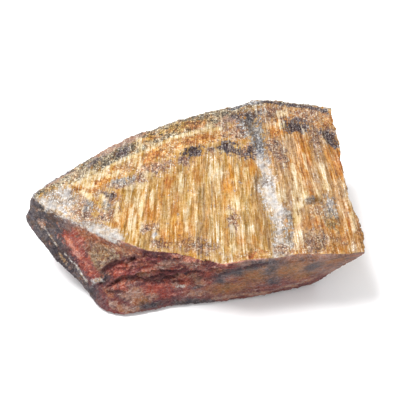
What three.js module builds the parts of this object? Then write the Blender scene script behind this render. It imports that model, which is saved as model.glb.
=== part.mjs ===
// A rough, unpolished chunk of tiger's eye: fibrous golden quartz on top, with its dark ironstone
// and red jasper wall still joined to the front and the left end. It is one solid piece of stone.
//
// Millimetres, +Z up. X runs along the stone, from its pointed left end to its broad right end, and
// the fibres run along Y. The stone lies on the flat sole under it, at z = 0, and the origin is on
// that plane, under the middle of the bounding box.
//
// Long edges, called rails here, run from the left end to the right end. The skin is stretched from
// each rail to the next, all the way round, and a rough cap closes each end.
import * as THREE from "three";
import { ImprovedNoise } from "three/addons/math/ImprovedNoise.js";

// How finely the skin is divided.
const SECTIONS = 50; // strips along the stone
const LEFT_CAP_RINGS = 2;
const RIGHT_CAP_RINGS = 7;
const CAP_RIM = 0.5; // a cap blends from its rim into its flat face over this share of the way in

// The broken right end leans out over the foot, and is hollowed.
const RIGHT_END_LEAN = 0.3; // how far out it goes for each millimetre of height
const RIGHT_END_HOLLOW = 1.2; // how far its middle lies inside its corners

// A shallow bite in the top edge of the right end. Its place and its reach are shares of the way
// from the front to the back, and it fades to nothing along the stone by a high power.
const BITE_DEPTH = 1.4;
const BITE_MIDDLE = 0.43;
const BITE_REACH = 0.36;
const BITE_FADE = 6;

// Roughness of the broken faces: how far the surface wanders either way, and over what distance.
// Edges wander less than the middle of a face, so that they stay crisp.
const LUMPS = { depth: 0.55, spacing: 9, shift: 3 };
const CHIPS = { depth: 0.4, spacing: 3.4, shift: 11 };
const EDGE_SHARE = 0.3;
const NOISE_GAIN = 1.6; // brings the noise to about -1 to 1

// How rough each face is, against the fibrous top.
const ROUGHNESS = {
  brow: 1,
  crest: 0.3,
  shoulder: 1.3,
  heel: 0.6,
  soleBack: 0,
  soleFront: 0.4,
  toe: 0.8,
  belly: 0.9,
  lip: 0.7,
  end: 1,
};

// One rail: points [x, y, z] from left to right, joined by a smooth curve.
const rails = {
  // Where the fibrous top meets the front.
  brow: [
    [-40.2, -0.9, 20.4],
    [-38.3, -3.6, 20.3],
    [-35, -6.1, 20],
    [-31.1, -9.3, 19.8],
    [-26.8, -12.8, 19.5],
    [-23.6, -15, 19.3],
    [-15.1, -20.2, 18.8],
    [-8.5, -22.1, 18.6],
    [-4.3, -24.2, 18.5],
    [1, -26.7, 18.3],
    [6.7, -26.8, 18.3],
    [12.4, -27.3, 18.3],
    [18.2, -27.6, 18.5],
    [22.6, -28.6, 18.5],
    [29.5, -28.8, 18.6],
    [33.6, -29.1, 18.8],
  ],
  // Where the fibrous top meets the bevel at the back.
  crest: [
    [-39.9, -0.1, 20.7],
    [-33.4, 2.2, 21.8],
    [-28.5, 3.5, 22.2],
    [-23.4, 5.7, 22.8],
    [-16.9, 9.2, 23.2],
    [-10.5, 10.9, 23.8],
    [-2.7, 12.9, 24.6],
    [6, 14.8, 25],
    [12, 15.1, 25],
    [15.5, 16.3, 25.6],
    [19.5, 15.7, 26],
    [28, 13, 26],
    [35.1, 10.9, 24.9],
  ],
  // The outer, lower side of the same bevel.
  shoulder: [
    [-40.2, 0.7, 19.9],
    [-35.9, 3.4, 20.3],
    [-29.5, 6.9, 20.3],
    [-23.1, 10.3, 20.9],
    [-15.2, 13.8, 21.5],
    [-7.6, 14.5, 23.1],
    [0.2, 15.6, 24.1],
    [6.7, 16.3, 24.4],
    [12.7, 16.9, 24.5],
    [16, 17.8, 24.9],
    [19.6, 16.9, 25.4],
    [28, 14, 25.4],
    [35.5, 12.3, 24.3],
  ],
  // The foot of the back.
  heel: [
    [-40.6, 2.2, 14],
    [-34, 6.5, 8.5],
    [-24, 10, 4.2],
    [-12, 12, 2.8],
    [0, 14.5, 3.6],
    [14, 15.5, 4.4],
    [24, 12.8, 3],
    [30, 10.5, 5.5],
  ],
  // The two sides of the flat sole that the stone lies on.
  soleBack: [
    [-41.2, 0.8, 13],
    [-33.5, 0.5, 7.2],
    [-25, 1.5, 1.6],
    [-20, 2, 0],
    [-6, 6, 0],
    [8, 5, 0],
    [18, 7, 0],
    [23, 4.5, 0],
    [28.6, 2.5, 2.6],
  ],
  soleFront: [
    [-41.8, -1.2, 12.8],
    [-34, -8.5, 6.2],
    [-28, -14, 1.3],
    [-23, -17, 0],
    [-12, -18.5, 0],
    [0, -17.5, 0],
    [12, -19, 0],
    [20, -17, 0],
    [24.5, -15.5, 0.6],
    [27.6, -14.5, 3.2],
  ],
  // The foot of the front, which climbs to a point at each end.
  toe: [
    [-42.2, -3.2, 13.4],
    [-41.2, -5.6, 12.8],
    [-39.4, -8.6, 11],
    [-36.3, -12.4, 8],
    [-31.6, -15.9, 4],
    [-29.6, -19.3, 1.4],
    [-27.4, -22.3, 0.8],
    [-22.6, -24.6, 0.8],
    [-17, -24.4, 0.8],
    [-11.5, -24, 0.7],
    [-4, -24.4, 0.6],
    [5.6, -24.7, 0.7],
    [13.1, -24.5, 0.8],
    [20.7, -23.8, 0.6],
    [24.6, -23, 0.5],
    [26.2, -23.2, 2],
    [27.6, -24.8, 6.6],
  ],
  // The fullest line of the front.
  belly: [
    [-42.7, -2.3, 15],
    [-39.6, -7.2, 12.6],
    [-34.4, -12.6, 7.9],
    [-28.2, -18.6, 5],
    [-24, -19.8, 7.8],
    [-18, -20.6, 10],
    [-8, -22, 10],
    [0, -24.6, 10.4],
    [12, -26.5, 10.4],
    [22, -26.4, 10.6],
    [31.3, -27.2, 13.5],
  ],
  // The edge of the sunken face under the left of the brow, and then the small lip under the rest.
  lip: [
    [-41, -1.8, 17.6],
    [-38.4, -5.6, 15.6],
    [-35.8, -9.9, 12.6],
    [-31.7, -13.6, 9.6],
    [-27.6, -17.4, 7.2],
    [-23.4, -17, 11.8],
    [-19.8, -17.9, 14.6],
    [-15, -20.2, 16.6],
    [-8.5, -22.4, 16.8],
    [1, -26.3, 15.8],
    [6.7, -26.9, 15.6],
    [12.4, -27.4, 16.4],
    [28.5, -28.8, 17.5],
    [33.1, -28.6, 17.5],
  ],
};

// The order of the rails round a section, and how many strips of skin lie between each and the next.
const RING = [
  ["brow", 17],
  ["crest", 2],
  ["shoulder", 8],
  ["heel", 3],
  ["soleBack", 7],
  ["soleFront", 2],
  ["toe", 4],
  ["belly", 3],
  ["lip", 2],
];

const HALVINGS = 30; // steps that find a point on a rail by its x

const noise = new ImprovedNoise();

// The smooth curve through a rail's points.
function railCurve(points) {
  return new THREE.CatmullRomCurve3(
    points.map((p) => new THREE.Vector3(...p)),
    false,
    "centripetal",
  );
}

// The point a share of the way along a rail, counted by x, so that sections stay nearly upright.
function pointAlong(curve, share) {
  const from = curve.points[0].x;
  const to = curve.points.at(-1).x;
  const x = THREE.MathUtils.lerp(from, to, share);
  let low = 0;
  let high = 1;
  for (let step = 0; step < HALVINGS; step++) {
    const middle = (low + high) / 2;
    if (curve.getPoint(middle).x < x) {
      low = middle;
    } else {
      high = middle;
    }
  }
  return curve.getPoint((low + high) / 2);
}

// How far one kind of roughness moves the surface at a point, in or out.
function wander(p, { depth, spacing, shift }) {
  const value = noise.noise(p.x / spacing + shift, p.y / spacing - shift, p.z / spacing + 2 * shift);
  return depth * NOISE_GAIN * value;
}

// Moves a point of the skin along its outward direction, as far as the break on its face allows.
function roughen({ point, face, across }, outward) {
  const freedom = THREE.MathUtils.lerp(EDGE_SHARE, 1, Math.sin(Math.PI * across));
  const moved = wander(point, LUMPS) + wander(point, CHIPS);
  return point.clone().addScaledVector(outward, moved * ROUGHNESS[face] * freedom);
}

// How deep the bite in the right end is, at a share of the way from the front to the back.
function bite(across) {
  const away = Math.min(Math.abs(across - BITE_MIDDLE) / BITE_REACH, 1);
  return BITE_DEPTH * Math.cos((Math.PI / 2) * away) ** 2;
}

// One section: the ring of points at a share of the way along the stone, with the face each is on.
function section(curves, share) {
  const corners = RING.map(([name]) => pointAlong(curves[name], share));
  const ring = [];
  RING.forEach(([face, strips], index) => {
    const from = corners[index];
    const to = corners[(index + 1) % corners.length];
    for (let strip = 0; strip < strips; strip++) {
      const across = strip / strips;
      const point = from.clone().lerp(to, across);
      if (face === "brow") {
        point.x -= bite(across) * share ** BITE_FADE;
      }
      ring.push({ point, face, across });
    }
  });
  return ring;
}

// A cap that closes a ring: smaller and smaller rings, and then the middle of its corners. Past
// its rim it is a flat face that leans by the given slope and is sunk by the given hollow.
function cap(ring, rings, lean, hollow) {
  const corners = ring.filter(({ across }) => across === 0);
  const middle = new THREE.Vector3();
  corners.forEach(({ point }) => middle.addScaledVector(point, 1 / corners.length));
  const layers = [];
  for (let layer = 1; layer < rings; layer++) {
    const inward = layer / rings;
    const flatness = THREE.MathUtils.smoothstep(inward, 0, CAP_RIM);
    const sunk = hollow * Math.sin((Math.PI / 2) * inward);
    layers.push(
      ring.map(({ point }) => {
        const moved = point.clone().lerp(middle, inward);
        const leaning = middle.x + lean * (moved.z - middle.z);
        moved.x = THREE.MathUtils.lerp(moved.x, leaning, flatness) - sunk;
        return { point: moved, face: "end", across: inward / 2 };
      }),
    );
  }
  middle.x -= hollow;
  return { layers, middle: { point: middle, face: "end", across: 1 / 2 } };
}

// Adds the two triangles of every cell between two rings, facing out when `after` is to the right.
function stitch(index, before, after, count) {
  for (let i = 0; i < count; i++) {
    const next = (i + 1) % count;
    index.push(before + i, after + i, after + next);
    index.push(before + i, after + next, before + next);
  }
}

// Closes a ring onto the vertex at its left.
function closeLeft(index, ring, tip, count) {
  for (let i = 0; i < count; i++) {
    index.push(tip, ring + i, ring + ((i + 1) % count));
  }
}

// Closes a ring onto the vertex at its right.
function closeRight(index, ring, tip, count) {
  for (let i = 0; i < count; i++) {
    index.push(ring + i, tip, ring + ((i + 1) % count));
  }
}

// The closed skin of the stone.
function stoneGeometry() {
  const named = Object.entries(rails).map(([name, points]) => [name, railCurve(points)]);
  const curves = Object.fromEntries(named);
  const rings = [];
  for (let i = 0; i <= SECTIONS; i++) {
    rings.push(section(curves, i / SECTIONS));
  }
  const left = cap(rings[0], LEFT_CAP_RINGS, 0, 0);
  const right = cap(rings.at(-1), RIGHT_CAP_RINGS, RIGHT_END_LEAN, RIGHT_END_HOLLOW);
  const layers = [...left.layers.toReversed(), ...rings, ...right.layers];
  const count = rings[0].length;

  const points = [...layers.flat(), left.middle, right.middle];
  const index = [];
  layers.slice(1).forEach((_, i) => stitch(index, i * count, (i + 1) * count, count));
  const leftTip = points.length - 2;
  const rightTip = points.length - 1;
  closeLeft(index, 0, leftTip, count);
  closeRight(index, (layers.length - 1) * count, rightTip, count);

  const geometry = new THREE.BufferGeometry().setFromPoints(points.map(({ point }) => point));
  geometry.setIndex(index);
  geometry.computeVertexNormals();

  const position = geometry.getAttribute("position");
  const normal = geometry.getAttribute("normal");
  points.forEach((skinPoint, i) => {
    const outward = new THREE.Vector3().fromBufferAttribute(normal, i);
    const moved = roughen(skinPoint, outward);
    position.setXYZ(i, moved.x, moved.y, Math.max(moved.z, 0));
  });
  geometry.computeVertexNormals();
  return geometry;
}

// Puts the origin on the resting plane, under the middle of the bounding box.
function centred(geometry) {
  geometry.computeBoundingBox();
  const middle = geometry.boundingBox.getCenter(new THREE.Vector3());
  return geometry.translate(-middle.x, -middle.y, -geometry.boundingBox.min.z);
}

const stoneFinish = new THREE.MeshStandardMaterial({ color: 0xc49a5c, roughness: 0.5, metalness: 0 });

const stone = new THREE.Mesh(centred(stoneGeometry()), stoneFinish);
stone.name = "stone";

const roughTigersEye = new THREE.Group();
roughTigersEye.add(stone);

export default roughTigersEye;
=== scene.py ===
"""Looks of a rough chunk of tiger's eye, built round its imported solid.

The stone is one piece of rock. Its broad top is golden quartz, split along its fibres. The front,
the foot and the back are ironstone: red and layered to the left, smooth and brown to the right.

Lengths are millimetres in the frame of the solid, unless a name ends in _m. The fibres run back
along Y. The top is described in plan, as (x, y), and the front in elevation, as (x, z).
"""

import logging
import math
from dataclasses import asdict, dataclass
from enum import Enum
from functools import cached_property

import bmesh
import bpy
import numpy as np
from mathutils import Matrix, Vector


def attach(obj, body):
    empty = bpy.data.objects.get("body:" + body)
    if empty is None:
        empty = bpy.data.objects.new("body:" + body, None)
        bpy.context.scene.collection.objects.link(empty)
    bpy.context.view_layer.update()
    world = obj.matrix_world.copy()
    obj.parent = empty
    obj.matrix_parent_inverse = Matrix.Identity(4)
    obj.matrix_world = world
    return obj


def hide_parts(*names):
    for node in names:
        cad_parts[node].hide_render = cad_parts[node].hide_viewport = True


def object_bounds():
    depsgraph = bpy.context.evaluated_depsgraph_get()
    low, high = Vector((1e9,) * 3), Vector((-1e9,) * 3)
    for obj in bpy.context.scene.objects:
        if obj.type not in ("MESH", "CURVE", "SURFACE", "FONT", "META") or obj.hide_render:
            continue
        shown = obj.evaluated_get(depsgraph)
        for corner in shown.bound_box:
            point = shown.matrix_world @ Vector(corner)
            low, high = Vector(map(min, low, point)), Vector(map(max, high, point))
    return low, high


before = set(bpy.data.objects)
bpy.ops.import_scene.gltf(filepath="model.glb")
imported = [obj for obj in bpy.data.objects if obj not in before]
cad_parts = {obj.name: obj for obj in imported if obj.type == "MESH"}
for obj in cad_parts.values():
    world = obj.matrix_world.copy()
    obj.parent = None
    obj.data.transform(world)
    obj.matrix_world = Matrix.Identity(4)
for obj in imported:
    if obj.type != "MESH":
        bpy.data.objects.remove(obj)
cad_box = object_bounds()

MM = 0.001
log = logging.getLogger("tigers_eye")

Socket = bpy.types.NodeSocket
Line = tuple[tuple[float, float], ...]


class Mark(Enum):
    """What is marked on the skin of the stone, by the name of the attribute that holds it."""

    FIBRE = "fibre"
    AMBER = "amber"
    SHADE = "shade"
    DULL = "dull"
    RUST = "rust"
    QUARTZ = "quartz"
    MILK = "milk"
    CREAM = "cream"
    # Pale stone, and painted highlights along the brow and on the red facet of the front.
    PALE = "pale"
    CRUST = "crust"
    UMBER = "umber"
    OXIDE = "oxide"
    SMOKY = "smoky"
    JASPER = "jasper"
    LAYERS = "layers"
    MAROON = "maroon"
    RED = "red"
    PINK = "pink"
    OCHRE = "ochre"
    OLIVE = "olive"
    SLATE = "slate"
    CRACK = "crack"
    SUNK = "sunk"


# ---------------------------------------------------------------- marks on the stone


@dataclass(frozen=True)
class Patch:
    """An oval mark: its middle, its half sizes, and how far it is turned, in degrees."""

    a: float
    b: float
    wide: float
    tall: float
    turn: float = 0.0

    def nearness(self, a: np.ndarray, b: np.ndarray) -> np.ndarray:
        """How deep each place is in the mark.

        Args:
            a: First coordinates of the places.
            b: Second coordinates of the places.

        Returns:
            1 in the middle, 0 on the rim, and less outside.
        """
        angle = math.radians(self.turn)
        along = (a - self.a) * math.cos(angle) + (b - self.b) * math.sin(angle)
        aside = (b - self.b) * math.cos(angle) - (a - self.a) * math.sin(angle)
        return 1 - np.hypot(along / self.wide, aside / self.tall)


@dataclass(frozen=True)
class Trail:
    """A mark that follows a line, with a half width."""

    line: Line
    half: float

    def nearness(self, a: np.ndarray, b: np.ndarray) -> np.ndarray:
        """How deep each place is in the mark.

        Args:
            a: First coordinates of the places.
            b: Second coordinates of the places.

        Returns:
            1 on the line, 0 at the half width, and less outside.
        """
        away = np.full(len(a), np.inf)
        for (a0, b0), (a1, b1) in zip(self.line, self.line[1:]):
            run, rise = a1 - a0, b1 - b0
            share = ((a - a0) * run + (b - b0) * rise) / (run * run + rise * rise)
            share = np.clip(share, 0, 1)
            away = np.minimum(away, np.hypot(a - a0 - share * run, b - b0 - share * rise))
        return 1 - away / self.half


Drawing = dict[Mark, tuple[Patch | Trail, ...]]


def spots(*rows: tuple[float, ...]) -> tuple[Patch, ...]:
    """Oval marks, each a row of its middle, its half sizes and, if it is turned, its turn."""
    return tuple(Patch(*row) for row in rows)


def trails(*rows: tuple) -> tuple[Trail, ...]:
    """Marks along lines, each a row of its half width and then the places that it follows."""
    return tuple(Trail(tuple(places), half) for half, *places in rows)


# On the top, in plan (x, y). BROW is its front edge. The crust of the back lies behind PALE_LINE,
# and a rusty band lies between that line and RUST_FOOT.
BROW: Line = (
    (-37.5, 5.6), (-36.5, 4.8), (-34.6, 2.1), (-31.3, -0.4), (-27.4, -3.6), (-23.1, -7.1),
    (-19.9, -9.3), (-11.4, -14.5), (-4.8, -16.4), (-0.6, -18.5), (4.7, -20.7), (10.4, -20.5),
    (16.1, -20.8), (21.9, -21.0), (26.3, -22.0), (33.2, -22.8), (40, -23.4),
)
PALE_LINE: Line = (
    (-36, 4.5), (-30, 6.2), (-26, 6.0), (-23, 7.0), (-20, 8.2), (-16, 10.2), (-12, 11.4),
    (-9, 12.1), (-6, 13.4), (-2, 14.6), (4, 15.4), (12, 15.6), (17, 19.6), (24, 20.2), (27, 18.9),
    (32, 18.0), (40, 16.8),
)
RUST_FOOT: Line = (
    (-28, 6.5), (-25.5, 2.0), (-22, 2.4), (-19.5, 5.2), (-15, 5.6), (-12, 7.6), (-8, 8.8),
    (-4, 9.0), (0, 11.0), (6, 11.3), (9, 12.0), (17, 11.8), (18, 20.0), (25, 20.5), (26, 15.4),
    (30, 15.0), (33, 11.5), (40, 11.0),
)
PLAN: Drawing = {
    Mark.AMBER: spots(
        (-7.1, 11.0, 2.6, 2.4, 30), (-4.6, 2.4, 1.1, 2.2), (-9.6, -4.6, 1.8, 3.6),
        (-3.8, -10.8, 2.4, 3.6), (-7.2, -11.6, 1.8, 2.4), (2.4, 3.0, 0.9, 3.0), (9.0, -0.3, 1.5, 2.6),
        (16.5, 3.2, 1.8, 2.8), (-14.6, -4.4, 1.5, 3.6), (-20.5, 5.8, 3.6, 1.4, 25),
        (10.2, -15.6, 2.4, 2.6), (23.1, 12.1, 1.8, 2.2), (-6.3, 11.4, 1.6, 2.4, 20),
        (25.4, 12.0, 2.0, 1.4), (30.4, -15.4, 2.2, 3.0), (35.4, -17.0, 2.4, 4.0),
        (32.8, -17.2, 2.4, 3.2), (12.2, -20.2, 2.4, 1.8), (33.0, -18.4, 2.0, 2.0),
        (-4.2, -5.0, 1.4, 1.8), (-8.4, 9.4, 2.2, 1.4), (37.2, 12.4, 1.4, 1.8), (29.6, 5.8, 0.9, 2.6),
        (1.0, 17.6, 9.0, 2.0, 4), (-8.0, 16.2, 3.6, 1.6, 12), (26.6, 15.2, 3.2, 1.6, -10),
        (26.0, -14.0, 3.0, 1.8), (29.6, -21.2, 3.0, 1.4), (-17.6, -6.2, 1.8, 1.6),
        (4.6, 13.2, 4.6, 1.6, 6),
    ) + trails(
        (1.8, (29.9, 9.0), (29.2, 4.6), (27.6, -1.6)), (2.0, (36.0, 4.4), (35.4, -2.0)),
        (0.9, (-25.4, 4.8), (-22.9, 2.0), (-21.0, -0.8)),
    ),
    Mark.SHADE: spots(
        (2.4, -4.4, 1.3, 5.4), (-0.8, 4.2, 1.5, 3.6), (14.6, -13.4, 1.8, 5.0), (8.0, -11.4, 1.4, 3.6),
        (-1.2, -15.0, 4.4, 2.2, -20), (16.1, -8.5, 0.9, 9.0), (5.6, 4.4, 0.9, 3.0),
        (-13.2, -1.0, 0.7, 4.2), (3.0, -11.6, 1.0, 4.2), (-6.2, -3.0, 0.8, 4.6), (14.2, 4.0, 0.7, 2.6),
        (24.4, 0.0, 1.4, 6.6), (31.0, -2.6, 0.8, 4.0), (0.9, -9.6, 1.6, 3.0), (-3.2, 1.2, 1.6, 5.0),
        (2.6, -12.4, 1.4, 2.0), (13.2, -18.0, 1.8, 2.8), (10.8, 16.4, 2.8, 1.6), (23.6, 5.0, 1.8, 3.6),
        (16.6, 1.0, 1.4, 2.6), (35.6, 4.4, 1.2, 2.2), (37.0, 12.0, 1.6, 2.0), (12.2, -20.6, 2.0, 1.6),
        (4.8, 14.6, 4.6, 2.6, 8), (2.9, 3.2, 1.6, 2.8), (14.8, 5.2, 1.8, 2.0), (32.2, -18.8, 2.2, 2.0),
        (28.4, -11.6, 2.0, 1.8), (2.2, -15.6, 2.0, 1.4), (4.4, -19.0, 2.2, 1.4), (6.8, 9.4, 1.4, 1.8),
        (31.8, 2.0, 1.2, 2.0), (-13.4, 10.2, 1.6, 1.2), (23.2, 2.2, 1.6, 2.4), (8.6, 2.4, 1.1, 1.8),
        (-18.4, -5.4, 1.3, 1.8), (-4.4, -5.0, 1.3, 1.6), (-5.8, -14.0, 1.6, 1.4),
        (28.0, -20.4, 3.0, 1.2), (-18.2, -2.6, 1.4, 1.2), (11.4, 19.4, 1.6, 1.2),
        (-8.4, -13.0, 2.6, 2.0), (28.0, -13.4, 4.2, 3.6), (29.8, -19.6, 4.0, 2.4),
        (21.8, -9.0, 1.0, 5.4), (-20.0, 11.0, 4.6, 1.8, 25), (-13.0, 14.2, 3.6, 1.4, 20),
        (31.0, 11.0, 2.8, 4.4), (24.0, 17.8, 4.4, 2.6), (34.6, -16.6, 3.4, 5.0),
        (26.4, -17.8, 4.0, 3.4), (22.6, 5.4, 1.8, 5.0), (31.6, 6.2, 1.6, 3.0), (2.0, -16.6, 2.8, 2.0),
        (-17.6, -1.8, 2.0, 1.8), (7.6, 8.8, 1.6, 1.2), (34.6, 8.4, 3.2, 3.0), (18.6, 15.4, 3.4, 5.0),
    ) + trails(
        # Painted shadow along the right edge of the slab beside the vein.
        (0.7, (16.4, 1.4), (15.2, -3.0), (15.5, -10.0), (16.0, -16.0)),
    ),
    Mark.RUST: spots(
        (-22.4, -0.3, 1.0, 2.8, 22), (-23.8, 3.6, 2.8, 1.6, -35), (-24.6, -4.6, 1.8, 0.8, -25),
        (-19.5, -4.4, 1.6, 1.2), (12.0, -19.8, 4.6, 1.3), (28.6, 16.6, 3.2, 2.0, -8),
        (37.0, 13.8, 1.6, 2.2), (28.6, -11.2, 2.4, 2.0), (23.0, -20.6, 3.0, 1.4),
        (23.4, 12.0, 1.6, 1.4), (14.8, 12.4, 2.6, 2.0, 10), (11.0, 18.4, 1.8, 1.6),
        (27.6, 17.2, 2.6, 1.8), (22.9, 19.4, 2.0, 1.4), (33.6, 15.0, 2.6, 2.0), (7.4, 8.6, 1.2, 1.5),
    ),
    Mark.QUARTZ: spots(
        (-32.2, 2.2, 4.8, 3.6, -25), (-28.6, 1.4, 2.6, 5.8, 15), (-25.2, -3.6, 4.0, 2.2, -36),
        (-20.5, 0.0, 2.4, 3.2, 20), (-15.2, 4.2, 3.6, 1.2, -8),
    ) + trails(
        (1.2, (-24.5, -5.0), (-21.0, -7.0), (-18.6, -8.8)),
        (1.4, (18.4, 7.6), (19.1, 4.0), (18.8, -0.6)),
        (2.2, (18.4, -0.6), (18.2, -4.0), (19.0, -6.4), (19.4, -9.4)),
        (1.5, (19.4, -9.4), (19.6, -12.0), (18.7, -14.8), (18.2, -18.0), (17.5, -21.2)),
    ),
    Mark.MILK: spots(
        (-28.8, 3.8, 0.9, 1.2), (-32.6, 1.4, 2.0, 1.1, -38), (-9.6, -10.4, 0.8, 0.6),
    ) + trails(
        # The facets along the brow: partly milky quartz and partly a painted reflection of the light on
        # their glossy faces.
        (1.2, (-23.4, -6.2), (-20.4, -8.4), (-18.2, -9.8)),
        (1.3, (18.3, -2.4), (18.5, -5.0), (19.2, -7.6), (19.6, -10.2)),
        (0.5, (19.1, -13.2), (18.5, -16.4)), (0.7, (18.2, 5.4), (18.9, 2.2)),
    ),
    Mark.PALE: spots(
        (10.3, -5.4, 1.1, 1.6), (8.2, -7.8, 0.9, 0.7), (7.6, -16.8, 1.1, 1.1), (32.2, -5.3, 1.0, 1.3),
        (24.6, -9.2, 1.6, 0.9, 30), (23.4, -12.0, 0.9, 1.8), (26.4, -6.6, 0.9, 1.0),
        (-20.4, 7.4, 2.4, 0.9, 10), (-16.8, 7.2, 1.6, 0.7, 10), (-20.6, 1.6, 0.8, 0.9),
        (-23.4, 5.4, 1.8, 0.9, -10), (-9.4, -10.9, 0.8, 0.5),
    ) + trails(
        (0.7, (-24.8, 3.8), (-22.8, 1.6)),
    ),
    Mark.CREAM: spots(
        (4.8, -13.3, 0.8, 1.9), (9.7, -17.8, 1.0, 1.3), (10.4, -13.0, 0.6, 2.0),
        (22.3, -17.2, 1.3, 2.0, -25), (24.8, -5.4, 0.6, 2.4), (-13.9, -9.4, 0.8, 1.5, -30),
        (25.2, 13.6, 1.2, 1.0), (8.4, 16.6, 1.2, 1.0), (-8.8, 5.4, 1.2, 0.9), (-14.6, 0.2, 0.7, 1.6),
        (26.4, 17.0, 1.4, 0.8), (-22.2, 8.4, 1.2, 0.6, 25), (21.2, -6.2, 0.9, 1.8),
        (-10.9, 9.8, 1.5, 1.5), (9.2, 9.4, 0.8, 0.6), (-13.4, -7.2, 1.2, 2.2, -15),
    ) + trails(
        (0.8, (8.0, 5.0), (7.3, 1.4), (6.5, -2.4)), (0.5, (5.8, 5.0), (5.2, 0.6)),
        (0.7, (-11.0, -0.6), (-11.9, -4.4)), (0.4, (-8.6, 0.6), (-9.4, -4.0)),
        (0.55, (-14.2, -3.0), (-14.9, -8.2)), (0.5, (-17.2, -1.0), (-17.8, -5.4)),
        (0.6, (32.8, 1.0), (32.4, -4.0)), (0.5, (25.6, 2.0), (25.2, -4.0)),
        (0.45, (26.6, -1.0), (26.2, -5.0)), (0.55, (-9.6, 16.8), (-9.7, 12.2)),
        (0.45, (-1.2, 4.6), (-2.0, -0.6)), (0.45, (0.6, -5.0), (0.3, -9.0)),
        (0.6, (-11.8, 1.2), (-12.6, -2.4)), (0.6, (23.6, -9.4), (22.6, -13.6)),
        (0.5, (14.7, 3.6), (14.0, 0.4)), (0.5, (29.2, 4.4), (28.8, 1.0)),
        (0.6, (36.2, -13.6), (35.9, -17.4)), (0.6, (-14.4, 2.9), (-10.0, 3.0)),
        (0.5, (-1.6, -6.0), (-2.5, -11.0)), (0.6, (8.7, -11.8), (8.1, -15.0)),
        (0.7, (11.9, -12.6), (11.3, -16.0)), (0.5, (12.0, 4.0), (11.3, 0.4)),
        (0.6, (30.0, -6.4), (29.7, -8.4)), (0.5, (24.0, -5.6), (23.6, -8.6)),
        (0.6, (-13.4, -11.2), (-14.0, -13.6)),
    ),
    Mark.UMBER: spots(
        (-7.0, 6.8, 4.8, 2.1, 12), (0.2, 8.0, 1.8, 1.4, -8), (-19.0, 1.2, 2.8, 2.4, -25),
        (-15.4, 4.4, 3.4, 1.3, -6), (-10.6, 4.8, 2.4, 1.2), (-24.0, -0.4, 1.8, 3.0, 18),
        (-25.0, -2.6, 3.0, 1.8, -30), (-20.6, -4.0, 1.8, 1.6), (36.0, 10.0, 1.6, 2.4),
        (29.0, 14.4, 3.4, 1.2, -8), (17.0, 18.6, 3.0, 1.4), (15.6, 8.2, 2.4, 2.0),
        (14.4, 14.0, 3.0, 1.8), (23.8, 17.6, 3.4, 2.6), (32.0, 15.2, 2.4, 1.9), (33.0, 8.4, 1.8, 3.4),
        (-10.8, -8.4, 2.2, 1.2), (26.9, -19.2, 4.6, 2.6), (-1.0, -15.2, 4.0, 1.8, -25),
        (8.6, -9.8, 1.2, 3.0), (22.0, 8.0, 2.0, 2.4), (-8.4, -13.2, 2.2, 1.6), (1.8, -15.8, 1.8, 1.1),
        (34.6, 15.8, 2.6, 1.8), (7.0, 9.8, 2.0, 1.2), (-18.2, -2.4, 1.6, 1.4), (4.4, 17.6, 2.2, 1.5),
        (23.6, 5.2, 1.4, 2.8), (10.8, 16.2, 1.5, 0.9), (13.4, 12.6, 1.6, 0.9), (18.6, -18.8, 1.2, 1.3),
    ),
    Mark.OXIDE: spots(
        (2.9, 9.9, 2.4, 1.3, 4), (0.4, 9.8, 1.0, 0.7), (10.8, 9.9, 2.4, 1.7, -10),
        (13.4, 8.8, 1.8, 1.2, -12), (16.2, 8.1, 1.3, 1.3), (28.3, 13.0, 2.6, 1.8, -8),
        (30.3, 12.0, 1.5, 1.4), (36.0, 9.0, 1.2, 2.4, 25), (36.9, 7.0, 1.0, 2.2),
        (15.4, 18.8, 1.8, 1.0), (20.2, 18.2, 1.0, 1.1), (-18.6, 1.8, 1.3, 0.8, -20),
        (-14.2, 13.2, 1.8, 1.0, 20), (-21.2, 11.8, 2.0, 0.9, 25),
    ) + trails(
        (0.5, (23.0, 21.2), (27.6, 19.3), (33.6, 17.5), (37.4, 16.1)),
    ),
    Mark.SMOKY: spots(
        (18.8, 12.4, 2.4, 2.6), (19.2, 8.4, 1.4, 3.2), (31.2, -12.8, 1.4, 3.6, -5),
        (32.2, -9.2, 1.1, 1.9), (21.6, -11.4, 0.9, 2.2, 10), (27.4, -8.0, 1.6, 0.9, -22),
        (20.6, -16.4, 1.0, 2.4), (-23.6, 0.2, 1.2, 1.6), (-15.2, 4.8, 2.7, 0.9, -6),
        (-20.0, -0.6, 1.3, 1.3), (-24.0, -1.0, 1.4, 0.9),
    ),
    Mark.CRUST: trails((1.0, (-35.6, 5.6), (-33.2, 7.2), (-31.0, 8.6))),
    Mark.SLATE: spots(
        (17.8, 16.6, 2.5, 2.8), (20.8, 18.4, 1.4, 1.4),
    ) + trails(
        (0.35, (-36.4, 5.4), (-33.4, 8.0), (-31.7, 9.0), (-29.0, 10.2), (-26.0, 12.5), (-23.0, 14.2)),
        (1.2, (18.0, 15.0), (18.7, 11.0), (18.9, 8.4)),
        (0.5, (13.6, 21.4), (18.5, 21.8), (22.3, 21.6), (27.6, 19.4), (33.6, 17.6), (37.4, 16.2)),
    ),
    Mark.PINK: spots(
        (14.0, 17.6, 2.0, 1.6),
    ) + trails(
        (1.0, (-37, 6.4), (-33, 8.0), (-28, 10.4)), (2.0, (-20.0, 15.0), (-15.0, 17.2), (-10.0, 18.8)),
    ),
    Mark.OLIVE: spots(
        (13.6, 17.0, 2.8, 1.8), (5.2, 17.2, 2.6, 1.2), (-7.4, 15.6, 2.6, 1.4),
        (-25.5, 8.5, 3.0, 1.0, 25),
    ),
    Mark.CRACK: trails(
        # The first crack is the right edge of the slab beside the vein: cut into the relief, with
        # painted shadow along it.
        (0.42, (16.8, 1.5), (15.9, -3.5), (15.7, -9.0), (16.3, -12.0), (15.7, -18.4)),
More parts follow.
